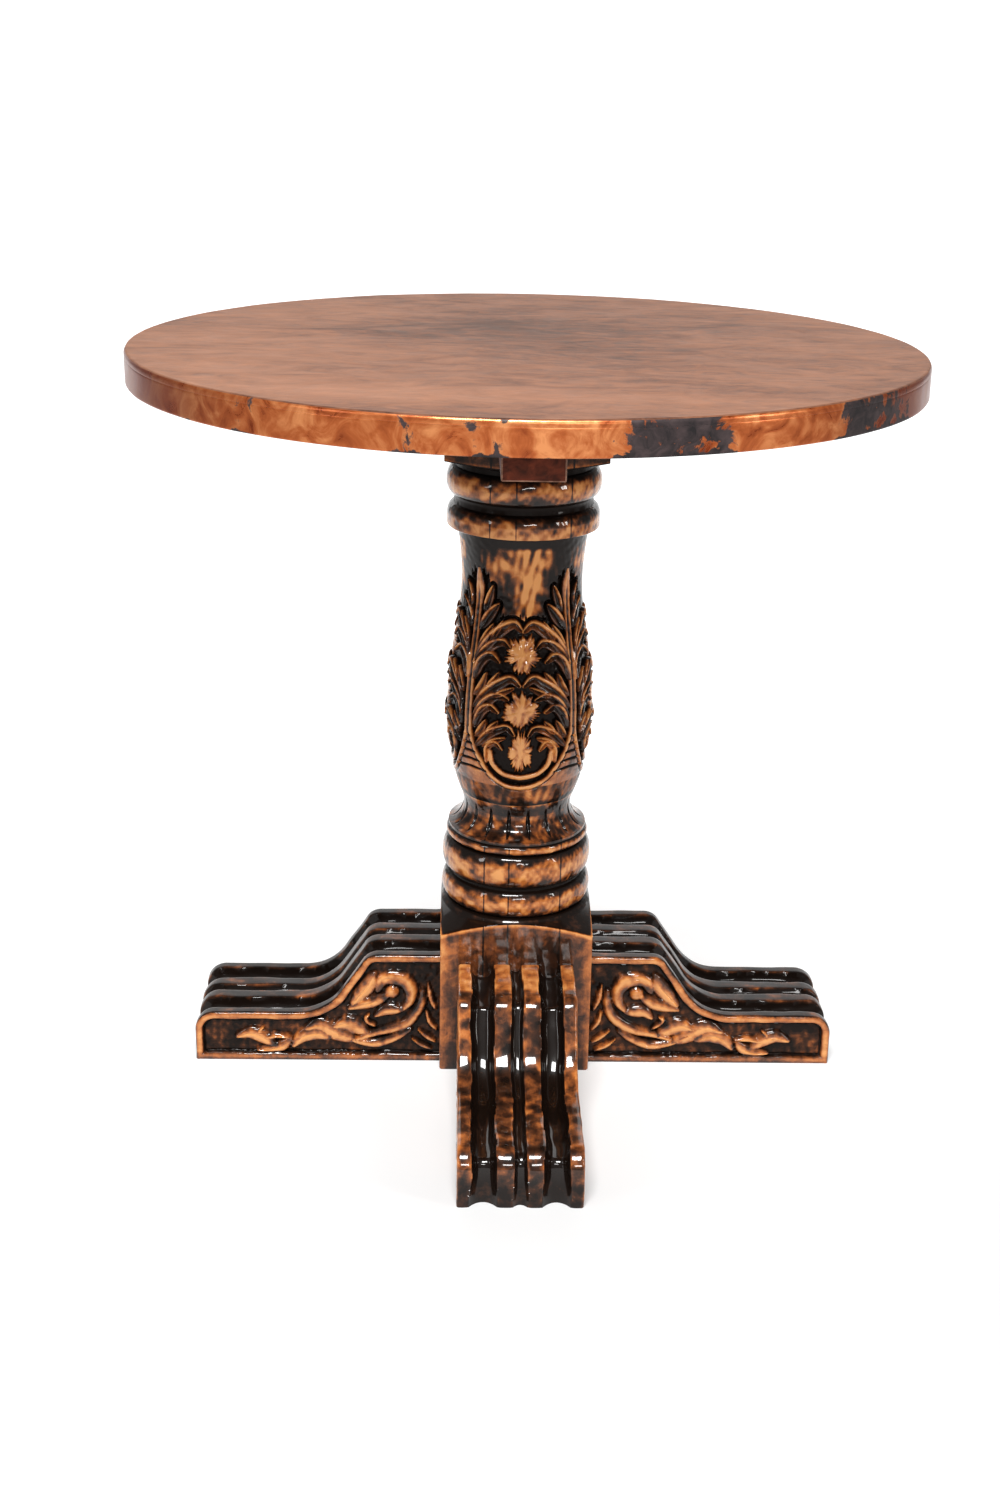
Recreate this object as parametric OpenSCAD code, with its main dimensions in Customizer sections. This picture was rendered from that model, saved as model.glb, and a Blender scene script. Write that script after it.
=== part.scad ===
// Pedestal table: a round, copper-clad top on a square-to-round turned post with four scroll feet.
// Millimetres, +Z up. The origin is on the floor, on the post's axis. The front foot points along -Y.

/* [Overall] */
// Height of the table surface above the floor
table_h = 762; // [640:1:920]
// Diameter over the copper edge
top_d = 780; // [640:1:940]
// Distance from the post's axis to the end of each foot
foot_reach = 343; // [290:1:420]

/* [Copper cladding] */
// Depth of the edge, from the table surface to the underside of the hem
rim_h = 32; // [26:1:50]
// Thickness of the copper sheet
sheet_t = 1; // [0.6:0.1:1.6]
// Radius of the soft corner where the top sheet turns down
corner_r = 4; // [3:0.5:6]
// How far the top sheet's edge reaches down before the edge strip starts
turn_down = 7; // [7:0.5:12]
// Width of the hem folded under the board
hem_w = 24; // [14:1:40]
// How many tacks hold the hem
tack_count = 24; // [12:4:48]
// Shank length of a tack
tack_l = 10; // [6:1:11]

/* [Board] */
// Thickness of the lower plywood disc
lower_disc_t = 12; // [12:1:16]

/* [Battens] */
// Length of each batten
batten_l = 500; // [410:1:600]
// Width of each batten
batten_w = 58; // [48:1:70]
// Height of each batten
batten_h = 51; // [42:1:62]
// Play on each side of the cross-halving joint
lap_play = 0.2; // [0.1:0.05:0.5]
// Distance from a batten's end to its outer screw
screw_end = 30; // [20:1:40]
// Diameter of the screws that hold the board
screw_d = 5; // [4:0.5:6]
// How far those screws reach into the board
screw_bite = 20; // [12:1:23]
// Depth of the pocket that sinks each screw's head
screw_pocket = 26; // [15:1:30]

/* [Post] */
// Side of the square blocks at both ends of the post
post_w = 160; // [133:1:192]
// Height of the base block at the middle of a face
base_h = 172; // [150:1:205]
// Height of the head block at the middle of a face
head_h = 27.5; // [24:0.5:33]
// How far the turned rings stay inside the square blocks
turning_margin = 1.5; // [0.5:0.5:4]
// Height of the bottom ring
bottom_ring_h = 30; // [25:1:36]
// Height of the ring above it
second_ring_h = 35; // [29:1:42]
// Diameter at the waist, under the belly
waist_d = 113; // [100:1:128]
// Diameter at the widest part of the belly
belly_d = 152; // [130:1:156]
// Diameter at the narrowest part of the neck
neck_d = 123; // [110:1:128]
// Height of the band under the top board's battens
collar_h = 23; // [19:1:27]
// Height of the ring above the band
top_ring_h = 29; // [24:1:34]
// Width of the first plank in the glued-up post, at its left side
first_plank_w = 45; // [36:1:54]
// Width of the second plank
second_plank_w = 25.5; // [20:0.5:31]
// Width of the third plank; the fourth takes the rest
third_plank_w = 54.5; // [45:0.5:62]

/* [Feet] */
// Width of each foot
foot_w = 122; // [101:1:150]
// Height of the shelf against the post
shelf_h = 126; // [115:1:148]
// Distance from the post's axis to where the shelf starts to fall
shelf_reach = 146; // [125:1:175]
// Height of the toe
toe_h = 57; // [48:1:66]
// Steepness of the slope between the shelf and the toe, in degrees
slope_a = 56; // [48:1:62]
// Radius of the rounded knee at the shelf's edge
knee_r = 20; // [17:1:24]
// Radius of the hollow where the slope runs out onto the toe
hollow_r = 57; // [46:1:68]
// Radius of the toe's upper corner
toe_r = 22; // [19:1:27]
// Width of the two deep flutes along the foot
flute_w = 23.5; // [19:0.5:26]
// Depth of the two deep flutes
flute_depth = 15; // [13:0.5:16]
// Width of the flute along the middle
middle_flute_w = 12; // [8:0.5:14]
// Depth of the flute along the middle
middle_flute_depth = 8; // [7:0.5:12]
// Width of the ridge along each side
outer_ridge_w = 14; // [12:0.5:18]
// Width of the raised border around each side panel
border_w = 9; // [7:0.5:11]
// Depth of the side panels
panel_depth = 4.5; // [3:0.5:6]

/* [Foot joints] */
// Diameter of the dowels
dowel_d = 16; // [12:1:18]
// Distance of each dowel from the middle of the foot
dowel_offset = 30; // [24:1:33]
// Height of the dowels above the floor
dowel_z = 88; // [76:1:94]
// How far the dowels reach into the foot
dowel_bite = 40; // [30:1:48]
// Diameter of the bolt that pulls each foot to the post
bolt_d = 10; // [8:1:12]
// Height of that bolt above the floor
bolt_z = 42; // [35:1:50]
// How much of the post's core the four bolts leave whole, from its axis
bolt_core = 25; // [15:1:30]
// Wood between the post and the pocket that holds the nut
pocket_wall = 50; // [40:1:60]
// Length of the nut's pocket, along the foot
pocket_l = 36; // [32:1:42]
// Width of the nut's pocket
pocket_w = 32; // [28:1:38]

/* [Post screws] */
// Diameter of the lag screws that hold the battens to the post
lag_d = 8; // [6:1:10]
// How far they reach into the post
lag_bite = 62; // [50:1:75]
// Depth of the pocket that sinks each lag screw's head
lag_pocket = 13; // [11:1:18]

/* [Hidden] */
$fn = 96;

COPPER = [0.72, 0.43, 0.28];
PLYWOOD = [0.76, 0.60, 0.40];
CARVED_WOOD = [0.45, 0.25, 0.11];
STEEL = [0.62, 0.62, 0.64];

hole_play = 0.1;       // radial play of a screw, dowel or bolt in its tight hole
bolt_play = 0.5;       // radial play of a bolt in its through hole
overcut = 1;           // how far a cut runs past the face it opens
post_steps = 14;       // straight steps in each computed curve of the post
foot_steps = 12;       // straight steps in each arc of a foot's outline

// Top
top_r = top_d / 2;
board_r = top_r - sheet_t;
rim_z = table_h - rim_h;
board_z = rim_z + sheet_t;
disc_joint_z = board_z + lower_disc_t;
tack_head_r = 3.5;
tack_head_t = 1;
tack_shank_r = 1;

// Post
post_r = post_w / 2;
post_h = board_z - batten_h;
prism_r = post_w * 0.75;             // beyond the square's corners
ring_r = post_r - turning_margin;
core_r = ring_r - 8;                 // bottom of the narrow grooves between rings
shoulder_rise = 17;                  // how far the base block's round shoulder climbs to the corner cone
head_rise = 11;                      // the same for the head block, seen from below
fillet_h = 4;                        // small sloped step on the base block
ring_gap = 4;
bead_h = 10;                         // half-round bead over the second ring
bottom_ring_z = base_h + fillet_h + bottom_ring_h / 2;
second_ring_z = bottom_ring_z + bottom_ring_h / 2 + ring_gap + second_ring_h / 2;
bead_z = second_ring_z + second_ring_h / 2 + 2 + bead_h / 2;
cove_r = 24;                         // radius of the hollow at the waist
cove_z = bead_z + bead_h / 2 + 27;
belly_foot_z = cove_z + 14;
belly_z = belly_foot_z + 82;         // height of the widest part
head_z = post_h - head_h;
top_ring_z = head_z - 8 - top_ring_h / 2;
collar_z = top_ring_z - top_ring_h / 2 - 9 - collar_h;
neck_end_z = collar_z - 17;
neck_z = neck_end_z - 36;            // height of the narrowest part
plank_x = [
  -prism_r, first_plank_w - post_r, first_plank_w + second_plank_w - post_r,
  first_plank_w + second_plank_w + third_plank_w - post_r, prism_r
];

// Feet, drawn pointing along +X: centres of the three arcs of the side outline
knee = [shelf_reach, shelf_h - knee_r];
toe = [foot_reach - toe_r, toe_h - toe_r];
slope_dir = [sin(slope_a), cos(slope_a)];
slope_drop = knee.y + knee_r * slope_dir.y - (toe_h + hollow_r - hollow_r * slope_dir.y);
slope_l = slope_drop / slope_dir.x;
hollow = [
  knee.x + (knee_r + hollow_r) * slope_dir.x + slope_l * slope_dir.y,
  toe_h + hollow_r
];
flute_y = foot_w / 2 - outer_ridge_w - flute_w / 2;
foot_angles = [0, 90, 180, 270];     // right, back, left, front

// Foot joints
dowel_in_post = post_r - dowel_offset - dowel_d / 2 - 2;
pocket_x = post_r + pocket_wall;
washer_r = bolt_d * 1.1;
washer_t = 2.5;
nut_r = bolt_d * 0.92;
nut_t = bolt_d * 0.8;
pocket_h = bolt_z + washer_r + 4;

// Battens
lag_x = (batten_w / 2 + post_r) / 2;
lag_washer_r = lag_d * 1.4;
lag_washer_t = 2;
lag_head_r = lag_d * 0.94;
lag_head_t = lag_d * 0.7;
outer_screw_x = batten_l / 2 - screw_end;
inner_screw_x = (post_r + outer_screw_x) / 2;
screw_head_r = screw_d;

// ---- Copper top ----

// Right half of a disc whose upper corner is rounded, in the (radius, height) plane.
module cap_outline(r, z_low, z_high, corner) {
  translate([0, z_low]) square([r - corner, z_high - z_low]);
  translate([r - corner - overcut, z_low]) square([corner + overcut, z_high - corner - z_low]);
  intersection() {
    translate([r - corner, z_high - corner]) circle(corner);
    translate([0, z_high - corner]) square([r, corner]);
  }
}

module copper_top_sheet() {
  color(COPPER) rotate_extrude() difference() {
    cap_outline(top_r, table_h - turn_down, table_h, corner_r);
    cap_outline(board_r, table_h - turn_down - overcut, table_h - sheet_t, corner_r - sheet_t);
  }
}

// The band around the edge and the hem folded from it are one strip.
module copper_edge_band() {
  color(COPPER) difference() {
    rotate_extrude() {
      translate([board_r, rim_z]) square([sheet_t, rim_h - turn_down]);
      translate([top_r - hem_w, rim_z]) square([hem_w - sheet_t / 2, sheet_t]);
    }
    all_tacks(hole_play);
  }
}

// A tack pointing up, its head's top at z = 0.
module tack(play = 0) {
  translate([0, 0, -tack_head_t]) cylinder(r = tack_head_r, h = tack_head_t);
  translate([0, 0, -tack_head_t / 2]) cylinder(r = tack_shank_r + play, h = tack_l + tack_head_t / 2 + play);
}

module all_tacks(play = 0) {
  for (i = [0 : tack_count - 1])
    rotate([0, 0, (i + 0.5) * 360 / tack_count])
      translate([top_r - hem_w / 2, 0, rim_z]) tack(play);
}

module copper_tacks() {
  color(COPPER) all_tacks();
}

// ---- Board under the copper ----

module upper_board_disc() {
  color(PLYWOOD) difference() {
    rotate_extrude() cap_outline(board_r, disc_joint_z, table_h - sheet_t, corner_r - sheet_t);
    all_board_screws(hole_play);
  }
}

module lower_board_disc() {
  color(PLYWOOD) difference() {
    translate([0, 0, board_z]) cylinder(r = board_r, h = lower_disc_t);
    all_board_screws(hole_play);
    all_tacks(hole_play);
  }
}

// ---- Battens and their screws ----

// A screw pointing up, its head's underside at z = 0.
module wood_screw(shank_l, play = 0) {
  translate([0, 0, -screw_d * 0.6]) cylinder(r = screw_head_r, h = screw_d * 0.6);
  translate([0, 0, -screw_d * 0.3]) cylinder(r = screw_d / 2 + play, h = shank_l + screw_d * 0.3 + play);
}

module at_board_screws() {
  for (a = foot_angles, x = [inner_screw_x, outer_screw_x])
    rotate([0, 0, a]) translate([x, 0, 0]) children();
}

module all_board_screws(play = 0) {
  screw_l = batten_h - screw_pocket + screw_bite;
  at_board_screws() translate([0, 0, post_h + screw_pocket]) wood_screw(screw_l, play);
}

module at_lag_screws() {
  for (a = foot_angles) rotate([0, 0, a]) translate([lag_x, 0, board_z - lag_pocket]) children();
}

// One batten along X, with the holes for its screws. The other is the same, turned a quarter.
module batten_blank() {
  difference() {
    translate([-batten_l / 2, -batten_w / 2, post_h]) cube([batten_l, batten_w, batten_h]);
    all_board_screws(hole_play);
    at_board_screws() translate([0, 0, post_h - overcut])
      cylinder(r = screw_head_r + 2, h = screw_pocket + overcut);
    at_lag_screws() cylinder(r = lag_washer_r + 1, h = lag_pocket + overcut);
    at_lag_screws() translate([0, 0, -batten_h]) cylinder(r = lag_d / 2 + bolt_play, h = batten_h + overcut);
  }
}

// The halving in the middle of a batten: the half that is cut away lies above z_low.
module halving(z_low) {
  cut = batten_w + 2 * lap_play;
  translate([-cut / 2, -batten_w, z_low]) cube([cut, 2 * batten_w, batten_h / 2 + overcut]);
}

module cross_batten() {
  color(CARVED_WOOD) difference() {
    batten_blank();
    halving(post_h + batten_h / 2);
  }
}

module long_batten() {
  color(CARVED_WOOD) rotate([0, 0, 90]) difference() {
    batten_blank();
    halving(post_h - overcut);
  }
}

module board_screws() {
  color(STEEL) all_board_screws();
}

module lag_washers() {
  color(STEEL) at_lag_screws() difference() {
    cylinder(r = lag_washer_r, h = lag_washer_t);
    translate([0, 0, -overcut]) cylinder(r = lag_d / 2 + hole_play, h = lag_washer_t + 2 * overcut);
  }
}

module lag_screws() {
  shank_l = batten_h - lag_pocket + lag_bite;
  color(STEEL) at_lag_screws() {
    translate([0, 0, lag_washer_t]) cylinder(r = lag_head_r, h = lag_head_t, $fn = 6);
    translate([0, 0, -shank_l]) cylinder(r = lag_d / 2, h = shank_l + lag_washer_t + lag_head_t / 2);
  }
}

// ---- Post ----

// A turned ring: a half-round of height h, its outer edge at ring_r.
module ring_outline(z, h) {
  translate([ring_r - h / 2, z]) circle(h / 2);
}

// Belly and neck: the profile's points, from the waist up to the collar.
function belly_points() = [
  for (i = [0 : post_steps]) let (t = i / post_steps)
    [waist_d / 2 + 3.5 + (belly_d / 2 - waist_d / 2 - 3.5) * pow(sin(90 * t), 0.85),
     belly_foot_z + t * (belly_z - belly_foot_z)]
];
function shoulder_points() = [
  for (i = [1 : post_steps]) let (t = i / post_steps)
    [neck_d / 2 + (belly_d - neck_d) / 4 * (1 + cos(180 * pow(t, 1.2))),
     belly_z + t * (neck_z - belly_z)]
];
function neck_points() = [
  for (i = [1 : post_steps / 2]) let (t = 2 * i / post_steps)
    [neck_d / 2 + 3.4 * pow(t, 1.5), neck_z + t * (neck_end_z - neck_z)]
];

// The turned outline. Where it is wider than the square blocks, they stay square.
module turned_outline() {
  square([prism_r, base_h - shoulder_rise]);
  polygon([
    [0, 0], [prism_r, base_h - shoulder_rise], [post_r, base_h], [ring_r, base_h + fillet_h],
    [0, base_h + fillet_h]
  ]);
  ring_outline(bottom_ring_z, bottom_ring_h);
  ring_outline(second_ring_z, second_ring_h);
  translate([0, base_h]) square([core_r, bead_z - base_h]);
  translate([core_r - 2, bead_z]) circle(bead_h / 2);
  difference() {
    translate([0, bead_z]) square([core_r + 0.5, belly_foot_z - bead_z]);
    translate([waist_d / 2 + cove_r, cove_z]) circle(cove_r);
    translate([waist_d / 2 + 3.5, cove_z]) square([post_r, belly_foot_z - cove_z + overcut]);
  }
  polygon(concat(
    [[0, belly_foot_z - overcut], [waist_d / 2, belly_foot_z - overcut]],
    belly_points(), shoulder_points(), neck_points(),
    [[neck_d / 2 + 4, collar_z + overcut], [0, collar_z + overcut]]
  ));
  translate([0, collar_z]) square([ring_r - 1, collar_h / 2]);
  translate([ring_r - 1 - collar_h / 2, collar_z + collar_h / 2]) circle(collar_h / 2);
  ring_outline(top_ring_z, top_ring_h);
  translate([0, collar_z]) square([core_r, head_z - collar_z]);
  polygon([[0, head_z - 3], [core_r, head_z - 3], [post_r, head_z], [prism_r, head_z + head_rise],
           [prism_r, post_h], [0, post_h]]);
}

module post_bores() {
  at_lag_screws() translate([0, 0, lag_pocket - batten_h - lag_bite - hole_play])
    cylinder(r = lag_d / 2 + hole_play, h = lag_bite + batten_h);
  at_each_foot() {
    dowels(hole_play);
    foot_bolt(hole_play);
  }
}

module plank(i) {
  color(CARVED_WOOD) difference() {
    intersection() {
      rotate_extrude() turned_outline();
      translate([-post_r, -post_r, 0]) cube([post_w, post_w, post_h]);
      translate([plank_x[i], -prism_r, -overcut])
        cube([plank_x[i + 1] - plank_x[i], 2 * prism_r, post_h + 2 * overcut]);
    }
    post_bores();
  }
}

// ---- Feet ----

module at_each_foot() {
  for (a = foot_angles) rotate([0, 0, a]) children();
}

// Points along an arc around c, from angle a_start to angle a_end.
function arc(c, r, a_start, a_end) = [
  for (i = [0 : foot_steps]) let (a = a_start + (a_end - a_start) * i / foot_steps)
    c + r * [cos(a), sin(a)]
];

// Side outline of a foot from x_low out to the toe, moved in by inset from its top and its end.
module foot_outline(x_low, z_low, inset) {
  polygon(concat(
    [[x_low, z_low], [x_low, shelf_h - inset]],
    arc(knee, knee_r - inset, 90, 90 - slope_a),
    arc(hollow, hollow_r + inset, 270 - slope_a, 270),
    arc(toe, toe_r - inset, 90, 0),
    [[foot_reach - inset, z_low]]
  ));
}

// Cross-section of a flute: a round bottom below the surface at y = 0, and open above it.
module flute_section(w, depth) {
  spill = 6;
  translate([0, w / 2 - depth]) circle(w / 2);
  translate([-w / 2, w / 2 - depth]) square([w, depth - w / 2 + spill]);
}

// A straight stretch of flute that starts at point p of the outline and falls by angle a.
module straight_flute(p, l, a, w, depth) {
  translate([p.x, 0, p.y]) rotate([0, a, 0]) rotate([90, 0, 90])
    linear_extrude(l) flute_section(w, depth);
}

// A stretch of flute around centre c, from angle a and on by turn. side is 1 over a round, -1 in a hollow.
module curved_flute(c, r, a, turn, side, w, depth) {
  translate([c.x, 0, c.y]) rotate([90, 0, 0]) rotate([0, 0, a])
    rotate_extrude(angle = turn) translate([r, 0]) rotate(-90 * side) flute_section(w, depth);
}

// One flute along the whole foot: over the shelf, down the slope, along the toe and down its end.
module flute(y, w, depth) {
  translate([0, y, 0]) {
    straight_flute([post_r - overcut, shelf_h], knee.x - post_r + overcut, 0, w, depth);
    curved_flute(knee, knee_r, 90 - slope_a, slope_a, 1, w, depth);
    straight_flute(knee + knee_r * slope_dir, slope_l, slope_a, w, depth);
    curved_flute(hollow, hollow_r, 270 - slope_a, slope_a, -1, w, depth);
    straight_flute([hollow.x, toe_h], toe.x - hollow.x, 0, w, depth);
    curved_flute(toe, toe_r, 0, 90, 1, w, depth);
    straight_flute([foot_reach, toe.y], toe.y + overcut, 90, w, depth);
  }
}

// The panel sunk into one side of a foot.
module side_panel(side) {
  translate([0, side > 0 ? foot_w / 2 + overcut : panel_depth - foot_w / 2, 0]) rotate([90, 0, 0])
    linear_extrude(panel_depth + overcut) foot_outline(post_r - overcut, border_w, border_w);
}

module dowels(play = 0) {
  for (side = [-1, 1])
    translate([post_r - dowel_in_post - play, side * dowel_offset, dowel_z]) rotate([0, 90, 0])
      cylinder(r = dowel_d / 2 + play, h = dowel_in_post + dowel_bite + 2 * play);
}

// The bolt runs from the post's core through the foot and the nut.
module foot_bolt(play = 0) {
  translate([bolt_core - play, 0, bolt_z]) rotate([0, 90, 0])
    cylinder(r = bolt_d / 2 + play, h = pocket_x + washer_t + nut_t + 3 - bolt_core + play);
}

module foot() {
  color(CARVED_WOOD) difference() {
    translate([0, foot_w / 2, 0]) rotate([90, 0, 0])
      linear_extrude(foot_w) foot_outline(post_r, 0, 0);
    for (side = [-1, 1]) {
      flute(side * flute_y, flute_w, flute_depth);
      side_panel(side);
    }
    flute(0, middle_flute_w, middle_flute_depth);
    dowels(hole_play);
    translate([post_r - overcut, 0, bolt_z]) rotate([0, 90, 0])
      cylinder(r = bolt_d / 2 + bolt_play, h = pocket_wall + 2 * overcut);
    translate([pocket_x, -pocket_w / 2, -overcut]) cube([pocket_l, pocket_w, pocket_h + overcut]);
  }
}

module foot_dowels() {
  color(PLYWOOD) at_each_foot() dowels();
}

module foot_bolts() {
  color(STEEL) at_each_foot() foot_bolt();
}

module foot_washers() {
  color(STEEL) at_each_foot() translate([pocket_x, 0, bolt_z]) rotate([0, 90, 0]) difference() {
    cylinder(r = washer_r, h = washer_t);
    translate([0, 0, -overcut]) cylinder(r = bolt_d / 2 + hole_play, h = washer_t + 2 * overcut);
  }
}

module foot_nuts() {
  color(STEEL) at_each_foot() translate([pocket_x + washer_t, 0, bolt_z]) rotate([0, 90, 0]) difference() {
    cylinder(r = nut_r, h = nut_t, $fn = 6);
    translate([0, 0, -overcut]) cylinder(r = bolt_d / 2 + hole_play, h = nut_t + 2 * overcut);
  }
}

// ---- Assembly ----

copper_top_sheet();
copper_edge_band();
copper_tacks();
upper_board_disc();
lower_board_disc();
cross_batten();
long_batten();
board_screws();
lag_screws();
lag_washers();
plank(0);  // post_plank_1
plank(1);  // post_plank_2
plank(2);  // post_plank_3
plank(3);  // post_plank_4
rotate([0, 0, foot_angles[0]]) foot();  // foot_right
rotate([0, 0, foot_angles[1]]) foot();  // foot_back
rotate([0, 0, foot_angles[2]]) foot();  // foot_left
rotate([0, 0, foot_angles[3]]) foot();  // foot_front
foot_dowels();
foot_bolts();
foot_washers();
foot_nuts();
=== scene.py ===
from math import cos, pi, radians, sin, sqrt

import bmesh
import bpy
import numpy as np
from mathutils import Matrix, Vector
from mathutils.geometry import tessellate_polygon


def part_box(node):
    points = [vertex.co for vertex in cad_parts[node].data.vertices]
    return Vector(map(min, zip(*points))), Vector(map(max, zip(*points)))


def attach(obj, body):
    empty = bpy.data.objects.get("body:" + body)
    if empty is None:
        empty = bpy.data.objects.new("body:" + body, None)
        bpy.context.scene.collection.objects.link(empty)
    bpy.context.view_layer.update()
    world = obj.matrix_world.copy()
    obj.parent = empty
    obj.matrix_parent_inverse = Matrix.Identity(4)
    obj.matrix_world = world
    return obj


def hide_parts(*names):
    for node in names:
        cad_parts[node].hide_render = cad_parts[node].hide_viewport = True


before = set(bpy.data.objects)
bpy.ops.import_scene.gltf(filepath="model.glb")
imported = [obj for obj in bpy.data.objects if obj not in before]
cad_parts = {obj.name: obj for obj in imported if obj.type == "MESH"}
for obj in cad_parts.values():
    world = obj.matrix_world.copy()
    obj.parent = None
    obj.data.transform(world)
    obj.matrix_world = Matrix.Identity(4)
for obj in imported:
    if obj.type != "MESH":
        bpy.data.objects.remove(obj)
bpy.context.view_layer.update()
MM = 0.001

# ---- sizes taken from the frame, in mm


def box_mm(node):
    low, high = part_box(node)
    return np.array(low) / MM, np.array(high) / MM


PLANKS = ["post_plank_1", "post_plank_2", "post_plank_3", "post_plank_4"]
FEET = {"foot_right": 0, "foot_back": 90, "foot_left": 180, "foot_front": 270}

post_high = np.max([box_mm(n)[1] for n in PLANKS], axis=0)
POST_HALF = post_high[0]
POST_TOP = post_high[2]
GLUE_LINES = [box_mm(n)[1][0] for n in PLANKS[:3]]

_, foot_high = box_mm("foot_right")
FOOT_REACH = foot_high[0]
FOOT_HALF = foot_high[1]
SHELF_H = foot_high[2]

sheet_low, sheet_high = box_mm("copper_top_sheet")
band_low, _ = box_mm("copper_edge_band")
TOP_R = sheet_high[0]
TOP_Z = sheet_high[2]
SEAM_Z = sheet_low[2]
RIM_Z = band_low[2]

# ---- camera, light and floor

SENSOR_MM, LENS_MM = 36.0, 47.24
CAMERA_AT = (-0.0658, -1.9479, 1.0564)
YAW, PITCH, ROLL = radians(1.37), radians(20.25), radians(1.09)
# Name, place, height it points at, size, power, tint.
LAMPS = [
    ("high_softbox", (-0.3, -1.9, 3.0), 0.2, (1.3, 0.9), 112, (1.0, 1.0, 1.0)),
    ("left_window", (-2.6, -1.9, 1.6), 0.4, (0.3, 1.5), 9, (0.95, 0.98, 1.0)),
    ("right_window", (2.6, -1.5, 1.4), 0.4, (0.3, 1.3), 16, (1.0, 0.98, 0.95)),
    ("front_fill", (0.4, -3.4, 1.5), 0.4, (0.9, 0.4), 18, (1.0, 1.0, 1.0)),
]
SKY_STRENGTH = 0.20


def in_scene(name, data):
    obj = bpy.data.objects.new(name, data)
    bpy.context.scene.collection.objects.link(obj)
    return obj


def place_camera():
    data = bpy.data.cameras.new("camera")
    data.sensor_width = SENSOR_MM
    data.lens = LENS_MM
    data.clip_end = 100.0
    camera = in_scene("camera", data)
    ahead = Vector((sin(YAW) * cos(PITCH), cos(YAW) * cos(PITCH), -sin(PITCH)))
    level = Vector((cos(YAW), -sin(YAW), 0.0))
    right = level * cos(ROLL) + level.cross(ahead) * sin(ROLL)
    upward = right.cross(ahead)
    turn = Matrix((right, upward, -ahead)).transposed()
    camera.matrix_world = Matrix.Translation(CAMERA_AT) @ turn.to_4x4()
    bpy.context.scene.camera = camera


def area_light(name, place, aim_height, size, power, tint):
    data = bpy.data.lights.new(name, "AREA")
    data.shape = "RECTANGLE"
    data.size, data.size_y = size
    data.energy = power
    data.color = tint
    lamp = in_scene(name, data)
    lamp.location = place
    aim = Vector((0.0, 0.0, aim_height)) - lamp.location
    lamp.rotation_euler = aim.to_track_quat("-Z", "Y").to_euler()


place_camera()
for lamp_settings in LAMPS:
    area_light(*lamp_settings)
world = bpy.data.worlds.new("studio")
world.use_nodes = True
sky = world.node_tree.nodes["Background"]
sky.inputs["Color"].default_value = (1.0, 1.0, 1.0, 1.0)
sky.inputs["Strength"].default_value = SKY_STRENGTH
bpy.context.scene.world = world
bpy.context.scene.view_settings.view_transform = "Standard"
bpy.context.scene.view_settings.look = "Medium High Contrast"

# ---- shader expressions


def plug_in(value, plug):
    """Links a value that varies to a socket, or sets a fixed one on it."""
    if isinstance(value, Flow):
        value.tree.links.new(value.socket, plug)
    else:
        plug.default_value = value


class Flow:
    """A socket's value in a material. Arithmetic on it adds Math nodes.

    A node's sockets are given by name, or as i0, i1 and so on by number.
    """

    def __init__(self, tree, socket):
        self.tree = tree
        self.socket = socket

    def node(self, kind, settings=None, **values):
        made = self.tree.nodes.new(kind)
        for key, value in (settings or {}).items():
            if key == "stops":
                set_stops(made.color_ramp, value)
            else:
                setattr(made, key, value)
        for key, value in values.items():
            by_number = key[0] == "i" and key[1:].isdigit()
            plug_in(value, made.inputs[int(key[1:]) if by_number else key.replace("_", " ")])
        return made

    def flow(self, kind, settings=None, out=0, **values):
        return Flow(self.tree, self.node(kind, settings, **values).outputs[out])

    def maths(self, operation, *values):
        inputs = {f"i{n}": v for n, v in enumerate(values)}
        return self.flow("ShaderNodeMath", {"operation": operation}, **inputs)

    def __add__(self, other):
        return self.maths("ADD", self, other)

    def __sub__(self, other):
        return self.maths("SUBTRACT", self, other)

    def __rsub__(self, other):
        return self.maths("SUBTRACT", other, self)

    def __mul__(self, other):
        return self.maths("MULTIPLY", self, other)

    __radd__ = __add__
    __rmul__ = __mul__

    def size(self):
        """How far the value is from 0."""
        return self.maths("ABSOLUTE", self)

    def ramp(self, stops):
        return self.flow("ShaderNodeValToRGB", {"stops": stops}, Fac=self)

    def between(self, low, high):
        """0 below low, 1 above high, smooth in between."""
        return self.flow("ShaderNodeMapRange", {"interpolation_type": "SMOOTHSTEP", "clamp": True},
                         Value=self, From_Min=low, From_Max=high)


def set_stops(ramp, stops):
    while len(ramp.elements) < len(stops):
        ramp.elements.new(1.0)
    for element, (place, colour) in zip(ramp.elements, stops):
        element.position = place
        element.color = (*colour, 1.0)


def new_material(name):
    material = bpy.data.materials.new(name)
    material.use_nodes = True
    tree = material.node_tree
    shader = tree.nodes["Principled BSDF"]
    start = Flow(tree, shader.outputs[0])
    place = start.flow("ShaderNodeTexCoord", out=3)
    return material, shader, start, place


def dress(shader, **values):
    """Gives the shader's sockets their values."""
    for key, value in values.items():
        plug_in(value, shader.inputs[key.replace("_", " ")])


def stretched(place, x, y, z, turn=0.0):
    return place.flow("ShaderNodeMapping", {}, Vector=place, Scale=(x, y, z), Rotation=(0.0, 0.0, turn))


def noise(place, scale, detail=4.0, roughness=0.55, distortion=0.0):
    return place.flow("ShaderNodeTexNoise", {}, Vector=place, Scale=scale, Detail=detail,
                      Roughness=roughness, Distortion=distortion)


def mix_colour(factor, a, b):
    node = factor.node("ShaderNodeMix", {"data_type": "RGBA"}, i0=factor)
    plug_in(a, node.inputs[6])
    plug_in(b, node.inputs[7])
    return Flow(factor.tree, node.outputs[2])


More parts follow.
